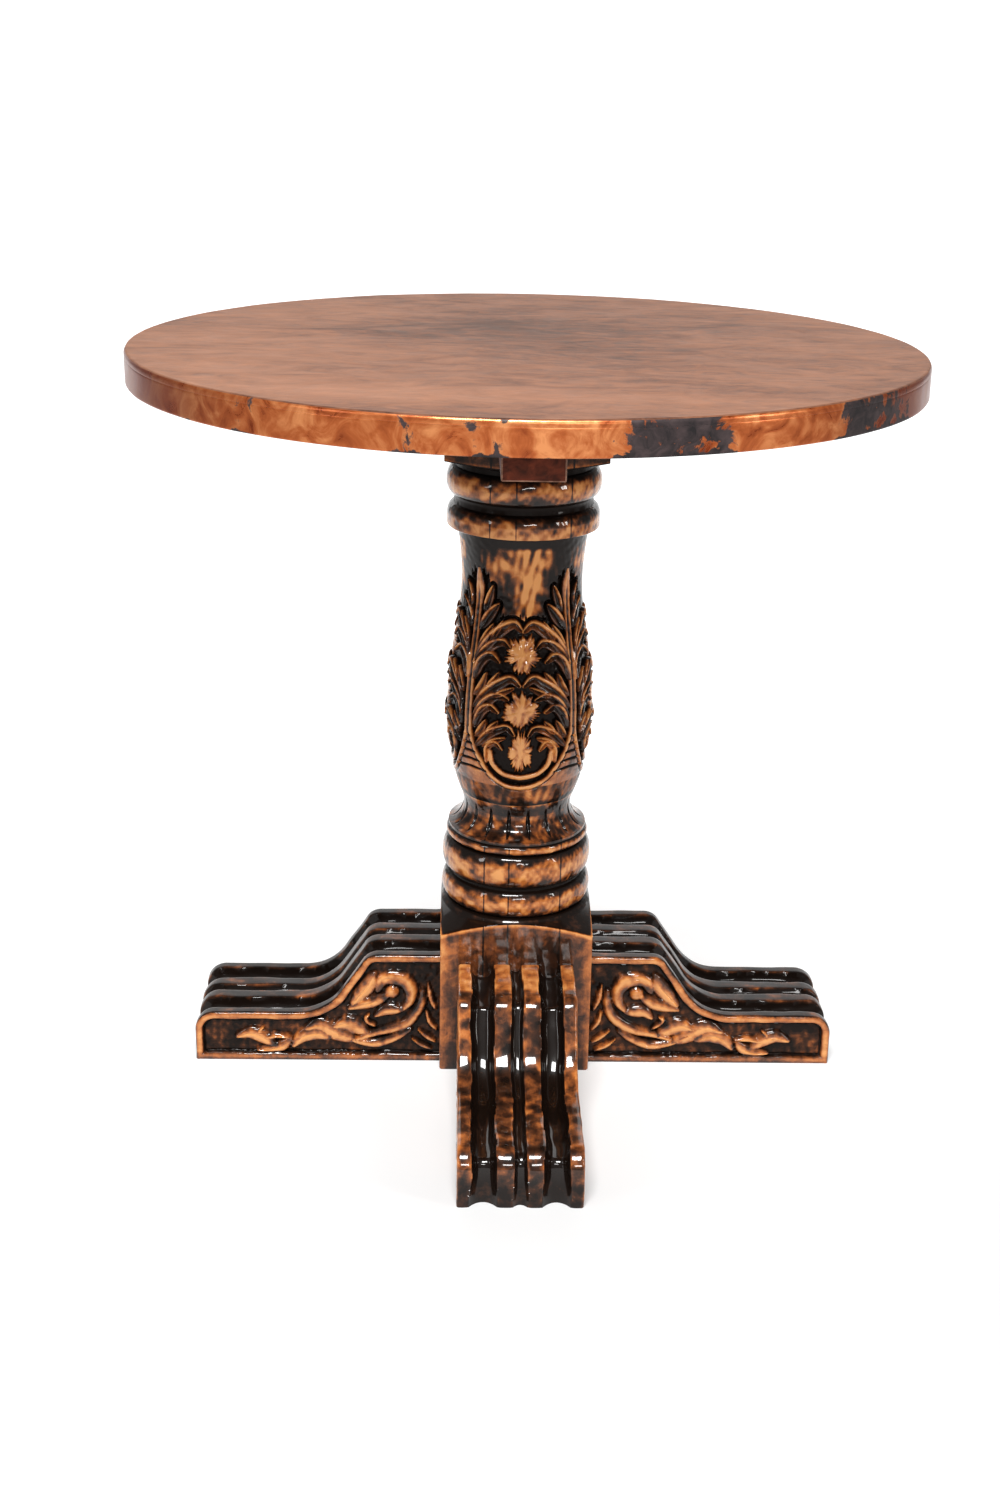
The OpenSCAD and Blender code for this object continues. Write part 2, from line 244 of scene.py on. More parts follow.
def bump(height, strength, distance):
    return height.flow("ShaderNodeBump", {}, Height=height, Strength=strength, Distance=distance)


# ---- materials

BLACK_BROWN = (0.011, 0.006, 0.004)
DEEP_BROWN = (0.050, 0.020, 0.010)
CHESTNUT = (0.175, 0.060, 0.022)
AMBER = (0.42, 0.140, 0.036)
GOLD = (0.68, 0.315, 0.108)


def glazed_wood(name, grain):
    """Dark glaze rubbed back to gold on the high places, under lacquer.

    grain stretches the figure. The mesh says where the glaze is rubbed and where the lacquer is glossy;
    in places its rub value also carries painted light and shade.
    """
    material, shader, start, place = new_material(name)
    rub = start.flow("ShaderNodeAttribute", {"attribute_name": "rub"}, out=2)
    patches = noise(place, 26.0, 5.0, 0.62, 0.6)
    brushed = noise(stretched(place, *grain), 5.0, 6.0, 0.7, 1.2)
    fine = noise(stretched(place, *grain), 26.0, 3.0, 0.6)
    drips = noise(place, 95.0, 4.0, 0.6, 0.8)
    shade = rub + (patches - 0.5) * 0.70 + (brushed - 0.5) * 0.45
    shade = shade + (drips - 0.5) * 0.42 + (fine - 0.5) * 0.16
    colour = shade.ramp([
        (0.22, BLACK_BROWN), (0.38, DEEP_BROWN), (0.50, CHESTNUT), (0.64, AMBER), (0.86, GOLD),
    ])
    gloss = start.flow("ShaderNodeAttribute", {"attribute_name": "gloss"}, out=2)
    dress(shader, Base_Color=colour, Coat_Weight=gloss * 0.9, Coat_Roughness=0.06, Coat_IOR=1.62,
          Roughness=0.34 - shade.between(0.3, 0.9) * 0.06 + (fine - 0.5) * 0.18,
          Normal=bump(brushed + fine * 0.5 + drips * 0.5, 0.08, 0.002), Specular_IOR_Level=0.1)
    return material


def aged_copper_top():
    """Satin brown copper, darkest in a cloud near the middle where most is set down."""
    material, shader, start, place = new_material("aged_copper_top")
    clouds = noise(stretched(place, 1.0, 1.7, 1.0), 2.6, 5.0, 0.55, 0.5)
    streaks = noise(stretched(place, 1.0, 2.4, 1.0, 0.10), 9.0, 8.0, 0.70, 1.6)
    mottle = noise(stretched(place, 1.0, 1.6, 1.0), 34.0, 6.0, 0.66, 1.4)
    from_middle = place.flow("ShaderNodeMapping", {}, Vector=place, Location=(-0.04, -0.07, -TOP_Z * MM))
    away = from_middle.flow("ShaderNodeVectorMath", {"operation": "LENGTH"}, out=1, i0=from_middle)
    tone = clouds * 0.46 + streaks * 0.34 + mottle * 0.36 - 0.125 + away.between(0.05, 0.34) * 0.07
    colour = tone.ramp([
        (0.38, (0.080, 0.045, 0.038)), (0.46, (0.190, 0.092, 0.062)), (0.55, (0.310, 0.150, 0.092)),
        (0.70, (0.440, 0.218, 0.132)),
    ])
    dress(shader, Base_Color=colour, Roughness=0.52 - streaks * 0.12 + (mottle - 0.5) * 0.22,
          Normal=bump(mottle + streaks * 0.6, 0.18, 0.002), Metallic=0.55,
          Specular_IOR_Level=0.25, Specular_Tint=(1.0, 0.78, 0.66, 1.0))
    return material


def aged_copper_edge():
    """Flame-coloured copper with black patina, painted darker and redder towards the left and right ends as
    shade.
    """
    material, shader, start, place = new_material("aged_copper_edge")
    blots = noise(place, 13.0, 7.0, 0.66, 1.1)
    fire = noise(place, 30.0, 6.0, 0.6, 1.4)
    specks = noise(place, 75.0, 5.0, 0.6, 0.8)
    edge = start.flow("ShaderNodeAttribute", {"attribute_name": "patina"}, out=2)
    patina = (edge + (blots - 0.5) * 1.7 + (fire - 0.5) * 0.9 + (specks - 0.5) * 0.8).between(0.50, 0.62)
    copper = (fire * 0.7 + blots * 0.3).ramp([
        (0.34, (0.23, 0.043, 0.011)), (0.48, (0.48, 0.138, 0.043)), (0.62, (0.72, 0.300, 0.122)),
    ])
    crust = specks.ramp([(0.35, (0.010, 0.007, 0.008)), (0.68, (0.060, 0.040, 0.040))])
    parts = start.node("ShaderNodeSeparateXYZ", Vector=place)
    # Painted shade: the ends of the edge along x are made darker and redder.
    end_shade = Flow(start.tree, parts.outputs["X"]).size().between(0.22, 0.38) * 0.86
    end_shaded_copper = mix_colour(end_shade, copper, (0.150, 0.022, 0.007, 1.0))
    dress(shader, Base_Color=mix_colour(patina, end_shaded_copper, crust), Metallic=0.62 - patina * 0.5,
          Roughness=0.30 + patina * 0.22 + (fire - 0.5) * 0.2,
          Normal=bump(fire + patina * 0.4, 0.12, 0.002), Coat_Weight=0.06, Coat_Roughness=0.08)
    return material


def stained_wood(name, dark, light, grain, gloss):
    material, shader, start, place = new_material(name)
    rings = noise(stretched(place, *grain), 9.0, 5.0, 0.6, 1.6)
    pores = noise(stretched(place, *grain), 22.0, 3.0, 0.6)
    figure = rings * 0.8 + pores * 0.2
    dress(shader, Base_Color=figure.ramp([(0.38, dark), (0.66, light)]),
          Roughness=0.62 - gloss + (pores - 0.5) * 0.2, Normal=bump(pores, 0.06, 0.001),
          Coat_Weight=gloss, Coat_Roughness=0.15, Specular_IOR_Level=0.2)
    return material


def zinc_steel():
    material, shader, start, place = new_material("zinc_steel")
    scuffs = noise(place, 180.0, 4.0, 0.6)
    colour = scuffs.ramp([(0.3, (0.34, 0.33, 0.31)), (0.7, (0.62, 0.62, 0.60))])
    dress(shader, Base_Color=colour, Metallic=1.0, Roughness=0.32 + scuffs * 0.25)
    return material


def studio_floor():
    """Pale floor under the table; further away it glows to stand for an evenly lit backdrop."""
    material, shader, start, place = new_material("studio_floor")
    parts = start.node("ShaderNodeSeparateXYZ", Vector=place)
    behind = Flow(start.tree, parts.outputs["Y"])
    aside = Flow(start.tree, parts.outputs["X"]).size() - behind * 0.4
    glow = 0.14 + behind.between(-0.5, 0.9) * (1.0 - aside.between(1.2, 2.4)) * 0.95
    dress(shader, Base_Color=(0.58, 0.58, 0.58, 1.0), Roughness=0.9, Specular_IOR_Level=0.1,
          Emission_Color=glow.ramp([(0.0, (0.0, 0.0, 0.0)), (1.0, (1.0, 1.0, 1.0))]),
          Emission_Strength=0.85)
    return material


ALONG_POST = (7.0, 7.0, 1.6)
ALONG_X = (1.6, 7.0, 7.0)
ALONG_Y = (7.0, 1.6, 7.0)
BATTEN_STAIN = ((0.060, 0.014, 0.006), (0.19, 0.043, 0.018))
MATERIALS = {
    "post": glazed_wood("glazed_post", ALONG_POST),
    "foot_x": glazed_wood("glazed_foot_x", ALONG_X),
    "foot_y": glazed_wood("glazed_foot_y", ALONG_Y),
    "top": aged_copper_top(),
    "edge": aged_copper_edge(),
    "batten_x": stained_wood("stained_batten_x", *BATTEN_STAIN, ALONG_X, 0.05),
    "batten_y": stained_wood("stained_batten_y", *BATTEN_STAIN, ALONG_Y, 0.05),
    "batten_edge": stained_wood(
        "worn_batten_edge", (0.17, 0.085, 0.055), (0.42, 0.24, 0.17), ALONG_Y, 0.05),
    "board": stained_wood("stained_board", (0.055, 0.026, 0.013), (0.15, 0.080, 0.040), ALONG_X, 0.1),
    "dowel": stained_wood("beech", (0.36, 0.22, 0.12), (0.60, 0.42, 0.26), ALONG_X, 0.05),
    "steel": zinc_steel(),
    "floor": studio_floor(),
}

# ---- mesh helpers

SAME_POINT = 2e-6  # metres


def smooth_step(low, high, values):
    t = held((values - low) / (high - low))
    return t * t * (3.0 - 2.0 * t)


def held(values):
    return np.clip(values, 0.0, 1.0)


def hump(values, middle, width):
    """1 at the middle, falling away to 0 on both sides."""
    return np.exp(-(((values - middle) / width) ** 2))


def dome(share):
    """A quarter circle: 1 at 0, and 0 from 1 on."""
    return np.sqrt(held(1.0 - share**2))


def sway(points, wavelength, seed):
    """Gentle hand-made waviness between -1 and 1 at each point, from a few crossed waves."""
    rng = np.random.default_rng(seed)
    total = np.zeros(points.shape[:-1])
    waves = 9
    for _ in range(waves):
        direction = rng.normal(size=3)
        direction *= 2.0 * pi / wavelength / np.linalg.norm(direction) * rng.uniform(0.6, 1.5)
        total += np.sin(points @ direction + rng.uniform(0.0, 2.0 * pi))
    return total / waves * 1.6


def as_points(a, b, c=0.0):
    """Two measures over a surface, and a constant, as points for sway()."""
    return np.stack([a, b, np.full(a.shape, c)], axis=-1)


def grid_faces(rows, columns, closed=False, start=0):
    """Quads over a grid of rows x columns vertices; closed joins the last column to the first."""
    last = columns if closed else columns - 1
    r, c = np.meshgrid(np.arange(rows - 1), np.arange(last), indexing="ij")
    n = (c + 1) % columns
    low, high = r * columns, (r + 1) * columns
    return np.stack([low + c, low + n, high + n, high + c], axis=-1).reshape(-1, 4) + start


def mesh_from(name, points_mm, quads, extra_faces=(), attributes=None):
    mesh = bpy.data.meshes.new(name)
    faces = quads.tolist() + [list(f) for f in extra_faces]
    mesh.from_pydata((points_mm * MM).tolist(), [], faces)
    for key, values in (attributes or {}).items():
        layer = mesh.attributes.new(key, "FLOAT", "POINT")
        layer.data.foreach_set("value", np.asarray(values, np.float32))
    mesh.validate()
    return mesh


def weld(mesh):
    """Joins coincident points and turns every face outwards."""
    body = bmesh.new()
    body.from_mesh(mesh)
    bmesh.ops.remove_doubles(body, verts=body.verts[:], dist=SAME_POINT)
    bmesh.ops.recalc_face_normals(body, faces=body.faces[:])
    body.to_mesh(mesh)
    body.free()


def piece(name, mesh, slot, material, *nodes, sharp=42.0):
    """Puts a finished mesh in the scene as the piece that replaces those CAD nodes."""
    obj = in_scene(name, mesh)
    mesh.materials.clear()
    mesh.materials.append(MATERIALS[material])
    mesh.polygons.foreach_set("use_smooth", np.ones(len(mesh.polygons), bool))
    mesh.set_sharp_from_angle(angle=radians(sharp))
    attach(obj, "root")
    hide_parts(*nodes)


# ---- leaf carving on the post

PANEL_R = 76.0                         # radius at which the carving is drawn flat
PANEL_HALF = PANEL_R * radians(45.0)   # from the middle of a panel to the stem at its edge
CARVE_DEPTH = 4.4
LEAF_SPREAD = (1.5, 1.7)               # how far a leaf is widened from the drawn half width
GROUND_TOP, GROUND_TOP_RISE = 500.0, 46.0  # where the sunk ground ends, in the middle and more at the stem
LEAF_TOP = 540.0                       # above this only the stem's tip is cut

# Leaves of half a panel, from the stem inwards: points (distance from the middle, height), half width.
LEAVES = [
    ([(48, 506), (44, 519), (39, 531)], 3.2),
    ([(52, 488), (42, 502), (31, 513)], 4.0),
    ([(51, 468), (45, 479), (37, 492)], 2.7),
    ([(37, 478), (31, 487), (25, 496)], 2.1),
    ([(55, 452), (44, 471), (28, 486), (12, 494), (1.5, 488)], 4.2),
    ([(54, 455), (39, 470), (24, 476), (16, 471)], 3.6),
    ([(54, 436), (48, 453), (37, 461), (26, 456)], 3.7),
    ([(51, 420), (44, 431), (40, 442)], 2.8),
    ([(37, 429), (31, 437), (25, 445)], 2.4),
    ([(51, 408), (37, 424), (22, 435), (12, 440), (3, 433)], 4.2),
    ([(30, 421), (19, 426), (9, 430)], 2.2),
    ([(51, 398), (38, 414), (25, 421), (15, 418)], 3.4),
    ([(50, 386), (43, 403), (34, 409), (25, 404)], 3.3),
    ([(48, 376), (42, 385), (38, 393)], 2.5),
    ([(36, 381), (30, 388), (25, 394)], 2.2),
    ([(48, 366), (34, 380), (23, 387), (14, 388), (8, 381)], 3.2),
    ([(40, 366), (28, 373), (17, 377)], 2.1),
    ([(37, 350), (35, 365), (27, 371), (20, 364)], 2.4),
]
BOSSES = [(463.0, 20.5, 19.0), (406.0, 19.0, 18.5), (363.0, 13.0, 22.0)]  # height, half width, half height
BORDER = [(57.6, 400), (57, 381), (52, 363), (44, 347), (32, 332), (16, 323), (0, 320.5)]
SMILE = [(34, 361), (31, 347), (21, 337.5), (10, 334), (0, 332.5)]
STEM_FOOT, STEM_TIP, TIP_LENGTH = 378.0, 548.0, 46.0
LADDER = [374.0, 366.0, 357.5, 348.5, 339.5]
LADDER_ZONE = (322.0, 381.0)


def curve_through(points, steps=9):
    """A smooth line through the points."""
    p = np.array(points, float)
    p = np.vstack([2 * p[0] - p[1], p, 2 * p[-1] - p[-2]])
    t = np.linspace(0.0, 1.0, steps, endpoint=False)[:, None]
    parts = []
    for a, b, c, d in zip(p[:-3], p[1:-2], p[2:-1], p[3:]):
        parts.append(0.5 * (2 * b + (c - a) * t + (2 * a - 5 * b + 4 * c - d) * t**2
                            + (3 * b - a - 3 * c + d) * t**3))
    return np.vstack([*parts, p[-2:-1]])


def along(line, across, up):
    """For each point: how far along the line (0 to 1), how far off it, and on which side."""
    best = np.full(across.shape, 1e9)
    share = np.zeros(across.shape)
    side = np.zeros(across.shape)
    lengths = np.linalg.norm(np.diff(line, axis=0), axis=1)
    reached = np.concatenate([[0.0], np.cumsum(lengths)])
    for i, (a, b) in enumerate(zip(line[:-1], line[1:])):
        du, dz = b - a
        t = held(((across - a[0]) * du + (up - a[1]) * dz) / lengths[i] ** 2)
        off_u, off_z = across - a[0] - t * du, up - a[1] - t * dz
        off = np.hypot(off_u, off_z)
        nearer = off < best
        best = np.where(nearer, off, best)
        share = np.where(nearer, (reached[i] + t * lengths[i]) / reached[-1], share)
        side = np.where(nearer, np.sign(dz * off_u - du * off_z), side)
    return share, best, side


def leaf_relief(points, half_width, across, up, folded=1.0):
    """A curled leaf, 0 on the ground to 1 at its upper rim. folded=0 gives a full leaf without a hollow."""
    share, off, side = along(curve_through(points), across, up)
    width = half_width * (0.42 + 0.72 * np.sin(pi * held(share) ** 0.85) ** 0.8)
    s = off * side / width
    body = 0.66 + 0.34 * hump(s, 0.58, 0.27) + 0.16 * hump(s, -0.66, 0.25)
    body -= 0.26 * hump(s, 0.0, 0.36) * smooth_step(0.04, 0.3, share)
    full = np.sqrt(held(1.0 - 0.86 * s**2)) - 0.16 * hump(s, 0.0, 0.10)
    edge = 1.0 - smooth_step(0.84, 1.14, np.abs(s))
    rim = hump(s, 0.56, 0.26) * smooth_step(0.08, 0.35, share)
    crown = hump(s, 0.25, 0.55) * smooth_step(0.0, 0.2, share)
    shape = body * folded + full * (1.0 - folded)
    tone = rim * folded + crown * (1.0 - folded)
    return shape * edge, tone * edge, off - width


def bead_relief(points, half_width, across, up):
    _, off, _ = along(curve_through(points), across, up)
    return dome(off / half_width), off - half_width


def lay_leaves(leaves, across, up, rng, shake, spread, folded):
    """Lays the drawn leaves over each other, each shaken a little.

    Gives their height, how near the rim each place is, where a small leaf is on top, and the gap.
    """
    shake_u, shake_z = shake
    high = np.zeros(across.shape)
    rim = np.zeros(across.shape)
    small = np.zeros(across.shape)
    near = np.full(across.shape, 1e9)
    for points, half_width in leaves:
        moved = [(u + rng.uniform(-shake_u, shake_u), z + rng.uniform(-shake_z, shake_z)) for u, z in points]
        width = half_width * (rng.uniform(*spread) if spread[0] < spread[1] else spread[0])
        body, own_rim, gap = leaf_relief(moved, width, across, up, folded)
        small = np.where(body > high, float(half_width < 3.0), small)
        rim = np.where(body > high, own_rim, rim)
        high = np.maximum(high, body)
        near = np.minimum(near, gap)
    return high, rim, small, near


def lay_bosses(across, up, side, near):
    """The fan-folded flowers down the middle: how high they stand, and the folds in them with a painted
    light-to-dark slope across each.
    """
    boss = np.zeros(across.shape)
    petals_and_side_light = np.zeros(across.shape)
    u = across * side
    for middle, half_u, half_z in BOSSES:
        angle = np.arctan2((up - middle) / half_z, u / half_u)
        spokes = as_points(2.0 * np.cos(angle), 2.0 * np.sin(angle), middle)
        point = 0.6 * sway(spokes, 1.7, 61) + 0.8 * sway(spokes, 0.6, 62) + 0.8 * sway(spokes, 0.33, 63)
        reach = np.hypot(across / half_u, (up - middle) / half_z) / (1.0 + 0.17 * point)
        inner = held(reach)
        rise = (1.0 - smooth_step(0.80, 1.08, reach)) * (1.0 - 0.30 * inner**2)
        fan = np.arctan2(u + 0.25 * half_u, up - middle + 1.5 * half_z)
        folds = np.sin(fan * 17.0 + 1.6 * sway(as_points(u, up), 15.0, 64))
        # The term in u paints each boss lighter on its left and darker on its right, as painted light and
        # shade; it also tilts the relief.
        petals_and_side_light = np.where(rise > boss, 0.5 * point * inner + 0.42 * folds - 0.30 * u / half_u, petals_and_side_light)
        boss = np.maximum(boss, rise)
    return boss * smooth_step(-0.6, 1.0, near), petals_and_side_light


def carved_panel(across, up, side, seed):
    """One half of a carved panel; side is 1 or -1 for the half.

    Gives the relief in mm (0 is the turned surface), how far the glaze is rubbed back together with the
    painted light and shade across the bosses, where the surface is left plain, and the gloss.
    """
    rng = np.random.default_rng(seed)
    leaf_high, leaf_rim, leaf_small, near = lay_leaves(
        LEAVES, across, up, rng, (0.5, 0.6), LEAF_SPREAD, 1.0)
    places = as_points(across, up)
    border_line = curve_through(BORDER)
    order = np.argsort(border_line[:, 1])
    border_u = np.interp(up, border_line[order, 1], border_line[order, 0], left=0.0, right=BORDER[0][0])
    inside = (across < border_u) & (up > BORDER[-1][1])
    outside_low = (across >= border_u) & (up > LADDER_ZONE[0]) & (up < LADDER_ZONE[1])

    ground = np.where(inside, 1.0, 0.0)
    top_edge = GROUND_TOP + GROUND_TOP_RISE * smooth_step(24.0, 52.0, across)
    ragged = 3.0 * np.sin(across * 0.9 + 1.3) + 2.0 * np.sin(across * 2.1 + seed)
    open_top = 1.0 - smooth_step(top_edge - 5.0, top_edge + 1.0, up + ragged)
    hugging = 1.0 - smooth_step(1.5, 4.0, near)
    ground *= np.maximum(open_top, hugging * (up < LEAF_TOP))

    boss, petals_and_side_light = lay_bosses(across, up, side, near)
    height = -CARVE_DEPTH * ground + 0.35 * ground * sway(places, 7.0, seed)
    lumps = -CARVE_DEPTH + (CARVE_DEPTH - 0.3) * boss + 0.9 * petals_and_side_light * boss
    height = np.where((boss > 0.02) & inside, np.maximum(height, lumps), height)
    leaves = -CARVE_DEPTH + (CARVE_DEPTH + 2.6) * leaf_high
    height = np.where(leaf_high > 0.02, np.maximum(height, leaves), height)

    smile, _ = bead_relief(SMILE, 3.1, across, up)
    border, border_gap = bead_relief(BORDER, 2.5, across, up)
    rounded_smile = -CARVE_DEPTH + (CARVE_DEPTH + 0.2) * smile**0.6
    height = np.where(smile > 0, np.maximum(height, rounded_smile), height)

    from_stem = PANEL_HALF - across
    taper = smooth_step(STEM_TIP + 1.0, STEM_TIP - 22.0, up)
    stem = dome((from_stem - 2.8 * taper) / 2.2) * ((up > STEM_FOOT) & (up < STEM_TIP))
    tip_half = 7.0 * np.sqrt(held(np.sin(pi * held((STEM_TIP - up) / TIP_LENGTH))))
    tip = (from_stem < tip_half) & (up > STEM_TIP - TIP_LENGTH)
    tip_rise = np.where(tip, 0.9 - 0.7 * (from_stem / np.maximum(tip_half, 0.1)) ** 4, 0.0)
    cleft = hump(from_stem, 0.0, 1.7) * smooth_step(STEM_TIP - 14.0, STEM_TIP - 30.0, up)
    beads = np.maximum(np.maximum(border, stem), tip_rise)
    height = np.where(beads > 0, np.maximum(height, -1.6 + 2.6 * beads**0.7), height)
    height -= 1.3 * cleft * (up > STEM_FOOT + 6.0)
    trench = hump(border_gap, 0.9, 0.8) * (up < BORDER[0][1])
    height -= 1.3 * trench * (beads <= 0)

    bars = np.zeros(across.shape)
    for z in LADDER:
        dip = z - 0.035 * np.clip(from_stem, 0.0, None) ** 1.4
        bars = np.maximum(bars, hump(up, dip, 1.1))
    height -= 1.9 * bars * outside_low

    leaf = smooth_step(0.15, 0.5, leaf_high)
    feathers = sway(places, 6.5, seed + 9)
    patchy = 1.0 + 0.55 * sway(places, 21.0, seed + 19) + 0.35 * feathers
    rub = 0.07 + leaf * (0.17 + 0.22 * leaf_high + 0.12 * leaf_small) + 0.50 * leaf_rim * leaf * patchy
    # The petals term carries painted light and shade across each boss as well as its folds.
    rub = np.where((boss > 0.05) & (leaf < 0.3), 0.16 + 0.72 * boss + 0.30 * petals_and_side_light + 0.16 * feathers, rub)
    rub = np.where(beads > 0, np.maximum(rub, 0.30 + 0.44 * beads - 0.5 * cleft + 0.14 * patchy), rub)
    rub = np.where(smile > 0.2, np.maximum(rub, 0.32 + 0.58 * smile), rub)
    rub = np.where(outside_low & (beads <= 0), 0.64 - 0.7 * bars - 0.3 * trench, rub)
    plain = (ground < 0.05) & (leaf_high < 0.05) & (beads <= 0) & (boss < 0.1) & ~outside_low
    gloss = 1.0 - 0.85 * smooth_step(-0.5, -2.5, height)
    return height, rub, plain, gloss


def neck_rub(u, z, seed):
    """Flames of gold rubbed through the glaze of the plain neck; u runs across the panel."""
    streaks = sway(as_points(u, 0.26 * z), 8.0, seed)
    spots = sway(as_points(u, 0.6 * z), 9.0, seed + 40)
    lean = u - 7.0 - 0.12 * (z - 530.0)
    flame = hump(lean, 0.0, 11.0 + 15.0 * smooth_step(500.0, 555.0, z))
    side = hump(u, -35.0, 15.0) * hump(z, 553.0, 11.0)
    gold = 0.21 - 0.18 * smooth_step(16.0, 34.0, u) + 0.70 * flame + 0.55 * side
    gold = gold + 0.38 * streaks * (0.45 + flame) + 0.26 * spots
    gold *= 1.0 - smooth_step(568.0, 576.0, z)
    low = 0.47 + 0.16 * streaks + 0.12 * spots - 0.3 * smooth_step(306.0, 299.0, z)
    return np.where(z < 330.0, low, gold)


# ---- the post

COLUMNS = 720
ROW_STEP = 0.7
SHOULDER_Z, SHOULDER_FALL, CORNER_WAY = 172.0, 17.0, 40.0  # the block's top, and its fall that far out
LOW_RING_Z, COVE_Z, COVE_R = 174.0, 262.0, 24.0
BELLY_FOOT_Z, BELLY_Z = 298.0, 380.0
NECK_Z, NECK_END_Z = POST_TOP - 149.5, POST_TOP - 99.0
HEAD_Z = POST_TOP - 28.0
WAIST_Z, WAIST_R, BELLY_R, NECK_R = 284.0, 56.5, 76.0, 61.5
GOUGES, GOUGE_Z, GOUGE_HALF, GOUGE_R = 18, 276.5, 13.0, 60.0


def ring_rows(middle, tall, radius, depth, count=18):
    """A cushion-shaped ring: rows of (radius, height, rub)."""
    rows = []
    for a in np.radians(np.linspace(-84.0, 84.0, count)):
        height = middle + tall / 2 * sin(a) / sin(radians(84.0))
        rows.append((radius - depth * (1.0 - cos(a)), height, 0.70 * cos(a) ** 1.6))
    return rows


def line_rows(start, end, count):
    return [tuple(np.array(start) + (np.array(end) - start) * t) for t in np.linspace(0, 1, count)]


def belly_radius(z):
    swell = held((z - BELLY_FOOT_Z) / (BELLY_Z - BELLY_FOOT_Z))
    low = WAIST_R + 3.5 + (BELLY_R - WAIST_R - 3.5) * np.sin(pi / 2 * swell) ** 0.85
    fall = held((z - BELLY_Z) / (NECK_Z - BELLY_Z))
    high = NECK_R + (BELLY_R - NECK_R) / 2 * (1.0 + np.cos(pi * fall**1.2))
    flare = held((z - NECK_Z) / (NECK_END_Z - NECK_Z))
    return np.where(z < BELLY_Z, low, high) + 4.5 * flare**1.3


def square_radius(theta, corner=2.0):
    """Distance from the axis to the side of a square block with eased corners, for each direction."""
    folded = np.abs((theta + pi / 4) % (pi / 2) - pi / 4)
    flat = POST_HALF / np.cos(folded)
    c = POST_HALF - corner
    reach = c * (np.cos(folded) + np.sin(folded))
    rounded = reach + np.sqrt(np.maximum(corner**2 - 2 * c**2 + reach**2, 0.0))
    return np.where(POST_HALF * np.tan(folded) > c, rounded, flat)


def block_rows(side):
    """The square block at the foot of the post; its top falls away towards the corners."""
    edge_near = hump(side, side.max(), 5.0)
    shoulder = SHOULDER_Z - (side - POST_HALF) * SHOULDER_FALL / CORNER_WAY
    rows = []
    for t in [0.0, 0.012, *np.linspace(0.05, 0.94, 26), 0.975, 0.992, 1.0]:
        inset = 1.5 if t == 0.0 else 0.0
        crest = smooth_step(0.975, 1.0, t)
        rows.append((side - inset, shoulder * t, 0.30 + 0.14 * t + 0.26 * edge_near + 0.36 * crest))
    for t in np.linspace(0.12, 1.0, 7):
        radius = side + (POST_HALF - side) * t
        rows.append((radius, shoulder + (SHOULDER_Z - shoulder) * t + 0.5, 0.20))
    return rows


def foot_ring_rows():
    """From the block up to the belly: two rings, a fillet, the cove and the waist."""
    rows = [(78.4, 175.0, 0.25), (76.5, 176.4, 0.05), (74.0, 177.3, 0.02)]
    rows += ring_rows(191.5, 28.0, 79.0, 7.0)
    rows += [(71.5, 206.5, 0.0), (71.3, 208.3, 0.0)]
    rows += ring_rows(227.5, 36.0, 78.7, 8.0, 22)
    rows += [(70.5, 246.3, 0.0), (70.8, 247.2, 0.02)]
    rows += ring_rows(252.0, 9.6, 75.0, 3.6, 10)
    rows += [(72.4, 257.2, 0.1), (72.6, 258.6, 0.32), (72.3, 260.4, 0.42), (72.0, 260.6, 0.4)]
    for a in np.radians(np.linspace(104.0, 0.0, 20)[6:]):
        rows.append((WAIST_R + COVE_R * (1.0 - cos(a)), WAIST_Z - COVE_R * sin(a), 0.42))
    rows += line_rows((WAIST_R, WAIST_Z + 1.0, 0.28), (57.3, 289.0, 0.25), 4)
    rows += line_rows((57.8, 291.0, 0.2), (59.0, 295.0, 0.35), 3)
    return rows + line_rows((59.6, 296.5, 0.45), (60.2, BELLY_FOOT_Z, 0.62), 3)


def head_ring_rows():
    """The collar and the ring above the neck, with heights below the top of the post."""
    rows = [(66.1, 98.0, 0.02), (66.6, 96.6, 0.0), (76.2, 97.0, 0.12), (77.3, 96.2, 0.75)]
    rows += line_rows((77.5, 94.0, 0.72), (77.5, 86.0, 0.66), 6)
    for a in np.linspace(8.0, 86.0, 12):
        turn = radians(a)
        rows.append((77.5 - 6.5 * (1.0 - cos(turn)), 86.0 - 11.6 * sin(turn), 0.55 - 0.4 * a / 86.0))
    rows += [(70.4, 73.4, 0.0), (70.2, 69.0, 0.0), (70.4, 66.0, 0.0)]
    rows = [(radius, POST_TOP - below, rub) for radius, below, rub in rows]
    rows += ring_rows(POST_TOP - 50.5, 29.0, 78.4, 8.0, 20)
    return rows + [(70.4, POST_TOP - 35.6, 0.0), (70.4, POST_TOP - 30.8, 0.0), (74.0, POST_TOP - 29.2, 0.08)]


def head_rows(side):
    """The square head; its underside rises towards the corners."""
    brow = HEAD_Z + 0.5 + (side - POST_HALF) * 11.0 / CORNER_WAY
    rows = []
    for t in np.linspace(0.1, 1.0, 7):
        radius = POST_HALF - 1.0 + (side - POST_HALF + 1.0) * t
        rows.append((radius, HEAD_Z + (brow - HEAD_Z) * t, 0.02))
    for t in [0.06, 0.16, *np.linspace(0.3, 0.97, 8), 1.0]:
        inset = 0.8 if t == 1.0 else 0.0
        rows.append((side - inset, brow + (POST_TOP - brow) * t, 0.35 + 0.50 * np.exp(-t / 0.06)))
    return rows


def post_rows(theta):
    """Every row of the post from the floor up: radius, height and rub for each direction."""
    side = square_radius(theta)
    rows = block_rows(side) + foot_ring_rows()
    for z in np.arange(BELLY_FOOT_Z + 0.7, NECK_END_Z, ROW_STEP):
        rows.append((belly_radius(z), z, 0.44))
    rows += head_ring_rows() + head_rows(side)
    flat = np.zeros(theta.shape)
    return [np.array([row[k] + flat for row in rows]) for k in range(3)]


